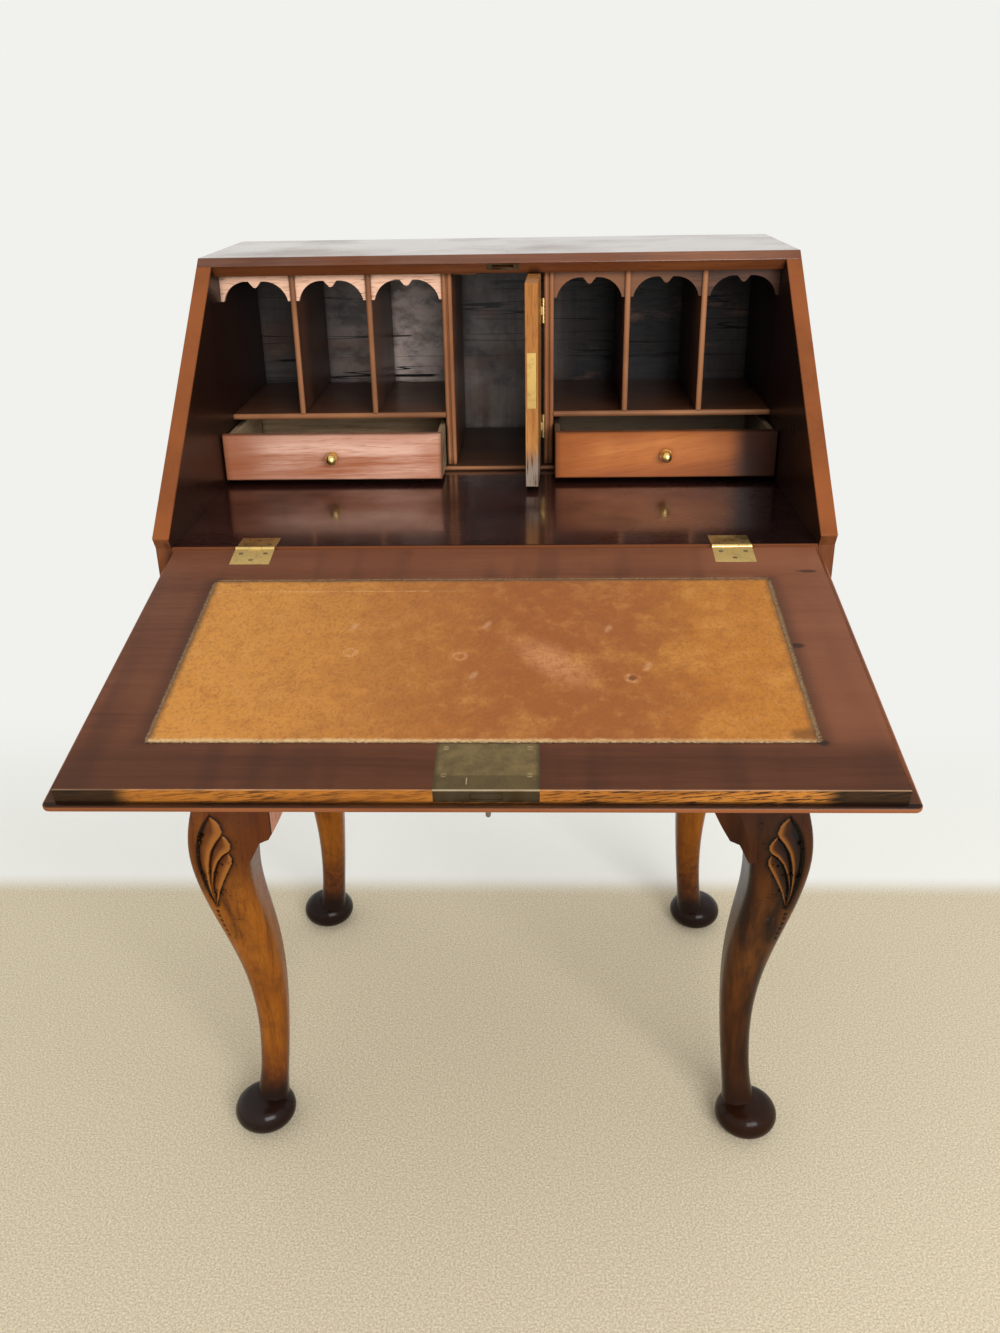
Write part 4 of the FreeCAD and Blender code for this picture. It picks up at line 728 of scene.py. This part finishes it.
cloth_thick, swell_height, pile_height = 0.0012, 0.0003, 0.00015
recess_lift, thin_edge_share, edge_wide = 0.0002, 0.55, 0.004
shape = bmesh.new()
bmesh.ops.create_grid(shape, x_segments=200, y_segments=96, size=0.5)
for spot in shape.verts:
    x, y = spot.co.x * suede_wide, spot.co.y * suede_long
    rim = min(suede_wide / 2 - abs(x), suede_long / 2 - abs(y))
    swell = swell_height * noise.noise(Vector((x * 30, y * 30, 0)))
    pile = pile_height * noise.noise(Vector((x * 160, y * 160, 3)))
    nap_height = cloth_thick + swell + pile
    height = recess_lift + nap_height * min(1.0, thin_edge_share + rim / edge_wide)
    spot.co = (x, y - (suede_near + suede_far) / 2, height)
bmesh.ops.transform(shape, matrix=fall_frame, verts=shape.verts)
for face in shape.faces:
    face.smooth = True
writing_suede = piece("suede_cloth", shape, suede, "fall", "suede", "writing_suede")

fibre_dark, fibre_light, fibre_dirt = (0.36, 0.19, 0.075), (0.66, 0.48, 0.27), (0.090, 0.040, 0.016)
fibre_wide, fibre_height = 0.00022, 0.0015
fibre_finish, shader, place = new_finish("frayed_fibres")
shading = place.noise(300, 2)
colour = shading.rise(0.35, 0.65).between(fibre_dark, fibre_light)
_, across, out, _ = on_fall(place)
stained = across.size().rise(0.243, 0.246) + out.fall(0.062, 0.066)
colour = colour.turned_to(fibre_dirt, stained * (shading.rise(0.40, 0.60) * 0.55 + 0.25))
colour.feed(shader, {"Base Color": colour, "Roughness": shading * 0.2 + 0.75})

chance = random.Random(7)
shape = bmesh.new()


def fray(x, y, away, longest, count):
    """A few fibres standing out of the cut edge at a spot, away from the sheet."""
    for _ in range(count):
        turn = math.atan2(away[1], away[0]) + chance.uniform(-0.9, 0.9)
        length = longest * chance.uniform(0.4, 1.0)
        reach = length * 0.25
        middle = Vector((x + math.cos(turn) * reach, y + math.sin(turn) * reach, fibre_height))
        tilt = Matrix.Rotation(chance.uniform(-0.25, 0.05), 4, "Y")
        lay = Matrix.Translation(middle) @ Matrix.Rotation(turn, 4, "Z") @ tilt
        bmesh.ops.create_grid(shape, x_segments=2, y_segments=1, size=0.5,
                              matrix=fall_frame @ lay @ Matrix.Diagonal((length, fibre_wide, 1, 1)))


steps_across, steps_along = 900, 420
for step in range(steps_across):
    x = (step / (steps_across - 1) - 0.5) * suede_wide
    fray(x, -suede_far, away=(0, -1), longest=0.0034, count=2)
    fray(x, -suede_near, away=(0, 1), longest=0.0028, count=2)
for step in range(steps_along):
    y = -suede_near - step / (steps_along - 1) * suede_long
    fray(-suede_wide / 2, y, away=(-1, 0), longest=0.0034, count=2)
    fray(suede_wide / 2, y, away=(1, 0), longest=0.0044, count=3)
frayed_edge = piece("frayed_edge", shape, fibre_finish, "fall", "suede")

# Brass: butt hinges of the fall, the cupboard's hinges and lock, the turned knobs. Cast and filed, rubbed
# bright where hands go and gone brown in the hollows, with painted shade darkening the hollows further. The
# fall's lock is the same brass, tarnished and scratched, with a painted highlight on its arris, and its key
# is old steel.


def metal(name, bright, dull, tarnish, roughness, seed, marked=None):
    """Old metal, bright where rubbed, dull in patches; tarnish is the dull share, marked adds wear, painted
    shade or a painted highlight.
    """
    material, shader, place = new_finish(name)
    moved = place.mapped(location=(seed, seed, seed))
    patches = moved.noise(60, 5, 0.65)
    specks = moved.noise(700, 3, 0.6)
    scratches = moved.mapped(scale=(0.06, 1, 1)).noise(1500, 1)
    dullness = (patches * 0.75 + specks * 0.25).rise(0.54 - tarnish * 0.3, 0.84 - tarnish * 0.3)
    colour = dullness.between(bright, dull)
    if marked:
        colour = marked(colour, *on_fall(place)[1:])
    grime_and_shade, grime_and_shade_reach = (0.020, 0.012, 0.006), 0.0025
    # Ambient occlusion darkens the metal in hollows and around raised parts: painted shade over the tarnish
    # there.
    open_air = place.node("AmbientOcclusion", {"Distance": grime_and_shade_reach}, out="AO", samples=4)
    colour = colour.turned_to(grime_and_shade, open_air.fall(0.35, 0.85) * 0.8)
    bump = colour.node("Bump", {"Strength": 0.35, "Distance": 0.00008, "Height": scratches + specks})
    colour.feed(shader, {"Base Color": colour, "Metallic": 1.0 - dullness * 0.35,
                         "Roughness": dullness * 0.22 + scratches * 0.12 + roughness, "Normal": bump})
    return material


def lock_wear_and_highlight(colour, across, out, up):
    """The lock plate's dark borders and front edge, its arris with a painted highlight, and a scribed line.
    """
    plate_middle, scribed_line = 0.0065, -0.0075
    border_brown, strip_brown = (0.040, 0.028, 0.013), (0.070, 0.048, 0.022)
    front_edge_brown, scratch_and_highlight_bright = (0.050, 0.034, 0.018), (0.60, 0.490, 0.340)
    border = (across - plate_middle).size().rise(0.0335, 0.0375) + out.fall(0.2890, 0.2915)
    colour = colour.turned_to(border_brown, border * 0.6)
    colour = colour.turned_to(strip_brown, out.rise(0.3255, 0.3268) * 0.5)
    scribed = (across - scribed_line).size().fall(0.0002, 0.0006)
    scribed = scribed * out.rise(0.3285, 0.3290) * out.fall(0.3355, 0.3360)
    colour = colour.turned_to(front_edge_brown, out.rise(0.3413, 0.3416) * 0.85)
    # A painted highlight along the arris of the plate.
    arris = out.rise(0.3408, 0.3414) * up.rise(-0.0002, 0.0004)
    return colour.turned_to(scratch_and_highlight_bright, scribed * 0.6 + arris * 0.75)


def slot_shade(colour, across, out, up):
    """Painted shade, nearly black, low in the screws' slots."""
    slot_shade_black = (0.010, 0.007, 0.004)
    return colour.turned_to(slot_shade_black, up.fall(0.0004, 0.0008))


brass_bright, brass_dull = (0.86, 0.600, 0.215), (0.36, 0.215, 0.070)
door_lock_bright, door_lock_dull = (0.64, 0.425, 0.135), (0.30, 0.180, 0.058)
fall_lock_bright, fall_lock_dull = (0.25, 0.178, 0.078), (0.125, 0.086, 0.036)
screw_bright, screw_dull = (0.40, 0.300, 0.150), (0.16, 0.110, 0.050)
steel_bright, steel_dull = (0.26, 0.245, 0.23), (0.060, 0.050, 0.045)
dress(metal("rubbed_brass", brass_bright, brass_dull, tarnish=0.3, roughness=0.22, seed=61.0),
      "bed_hinge_leaves", "fall_hinge_leaves", "fall_hinge_pins", "door_hinge_leaves", "door_hinge_pins",
      "door_post_leaves", "left_drawer_knob", "right_drawer_knob", "long_drawer_knobs", "key_escutcheon")
dress(metal("cupboard_lock", door_lock_bright, door_lock_dull, tarnish=0.35, roughness=0.30, seed=65.0),
      "door_lock")
dress(metal("tarnished_brass", fall_lock_bright, fall_lock_dull, tarnish=0.62, roughness=0.36, seed=62.0,
            marked=lock_wear_and_highlight), "fall_lock", "fall_lock_bolt")
dress(metal("lock_screws", screw_bright, screw_dull, tarnish=0.45, roughness=0.30, seed=64.0,
            marked=slot_shade), "fall_lock_screws")
dress(metal("screw_brass", screw_bright, screw_dull, tarnish=0.45, roughness=0.30, seed=64.0),
      "bed_hinge_screws", "fall_hinge_screws", "lock_keep")
dress(metal("old_steel", steel_bright, steel_dull, tarnish=0.5, roughness=0.32, seed=63.0), "fall_key")

# Studio: a plain pale carpet floor that runs into the white backdrop on every side, soft light from all round
# and from a lamp in front on the right, and the camera, which looks down on the open bureau from a little
# above its top.

floor_half = 12
tuft_dark, tuft_light, tuft_fleck = (0.50, 0.415, 0.275), (0.84, 0.74, 0.555), (0.36, 0.27, 0.15)
floor_white = (0.94, 0.94, 0.90)
backdrop_white = (0.88, 0.88, 0.85)
fill_strength = 0.83
carpet_end, haze_start = 0.42, 0.46

floor_mesh = bpy.data.meshes.new("floor")
shape = bmesh.new()
bmesh.ops.create_grid(shape, x_segments=1, y_segments=1, size=floor_half)
shape.to_mesh(floor_mesh)
shape.free()
floor = bpy.data.objects.new("floor", floor_mesh)
bpy.context.scene.collection.objects.link(floor)


def to_the_eye(start):
    """1 for rays that the camera sees, straight, in a mirror or through glass."""
    seen = start.node("LightPath", {}, out="Is Camera Ray")
    mirrored = start.node("LightPath", {}, out="Is Glossy Ray")
    through = start.node("LightPath", {}, out="Is Transmission Ray")
    return seen.most(mirrored.most(through))


carpet, shader, place = new_finish("floor_carpet")
_, inward, _ = place.parts()
away = place.node("VectorMath", {0: place}, out="Value", operation="LENGTH")
speckle = place.noise(420, 4, 0.8)
tread = place.noise(6, 3)
colour = speckle.rise(0.35, 0.65).between(tuft_dark, tuft_light)
colour = colour.turned_to(tuft_fleck, place.noise(640, 2, 0.5).fall(0.30, 0.37) * 0.6)
colour = colour.turned_to(floor_white, inward.rise(carpet_end, carpet_end + 0.06).most(away.rise(1.6, 3.0)))
bump = colour.node("Bump", {"Strength": 0.25, "Distance": 0.003, "Height": speckle})
colour.feed(shader, {"Base Color": colour, "Roughness": tread * 0.1 + 0.85, "Normal": bump})
far_off = inward.rise(haze_start, haze_start + 0.64).most(away.rise(1.8, 3.5)) * to_the_eye(place)
haze = place.node("Emission", {"Color": backdrop_white, "Strength": 1.0})
floor_blend = place.node("MixShader", {0: far_off, 1: Shade(place.tree, shader.outputs[0]), 2: haze})
place.feed(place.tree.nodes["Material Output"], {"Surface": floor_blend})
floor_mesh.materials.append(carpet)

world = bpy.data.worlds.new("studio")
bpy.context.scene.world = world
world.use_nodes = True
light = Shade(world.node_tree)
strength = to_the_eye(light) * (1 - fill_strength) + fill_strength
light.feed(world.node_tree.nodes["Background"], {"Color": backdrop_white, "Strength": strength})

lamp_place, lamp_aim = Vector((1.05, -2.6, 1.65)), Vector((0, 0.1, 0.7))
lamp_wide, lamp_tall, lamp_power = 1.9, 1.3, 80
lamp_data = bpy.data.lights.new("window", "AREA")
lamp_data.shape = "RECTANGLE"
lamp_data.size = lamp_wide
lamp_data.size_y = lamp_tall
lamp_data.energy = lamp_power
lamp = bpy.data.objects.new("window", lamp_data)
lamp.location = lamp_place
lamp.rotation_euler = (lamp_aim - lamp_place).to_track_quat("-Z", "Y").to_euler()
bpy.context.scene.collection.objects.link(lamp)

eye = Vector((0.0430, -1.0890, 1.1088))
pitch, yaw, roll = 0.4362, -0.0365, -0.0176
focal_share = 1150.1 / 1333
ahead = Vector((math.sin(yaw) * math.cos(pitch), math.cos(yaw) * math.cos(pitch), -math.sin(pitch)))
rightward = Vector((math.cos(yaw), -math.sin(yaw), 0))
upward = rightward.cross(ahead)
camera_right = rightward * math.cos(roll) + upward * math.sin(roll)
camera_up = upward * math.cos(roll) - rightward * math.sin(roll)

camera_data = bpy.data.cameras.new("camera")
camera_data.sensor_width = 36
camera_data.lens = focal_share * camera_data.sensor_width
camera_data.clip_start = 0.01
camera = bpy.data.objects.new("camera", camera_data)
bpy.context.scene.collection.objects.link(camera)
turn = Matrix((camera_right, camera_up, -ahead)).transposed().to_4x4()
camera.matrix_world = Matrix.Translation(eye) @ turn
bpy.context.scene.camera = camera
bpy.context.scene.view_settings.view_transform = "Standard"
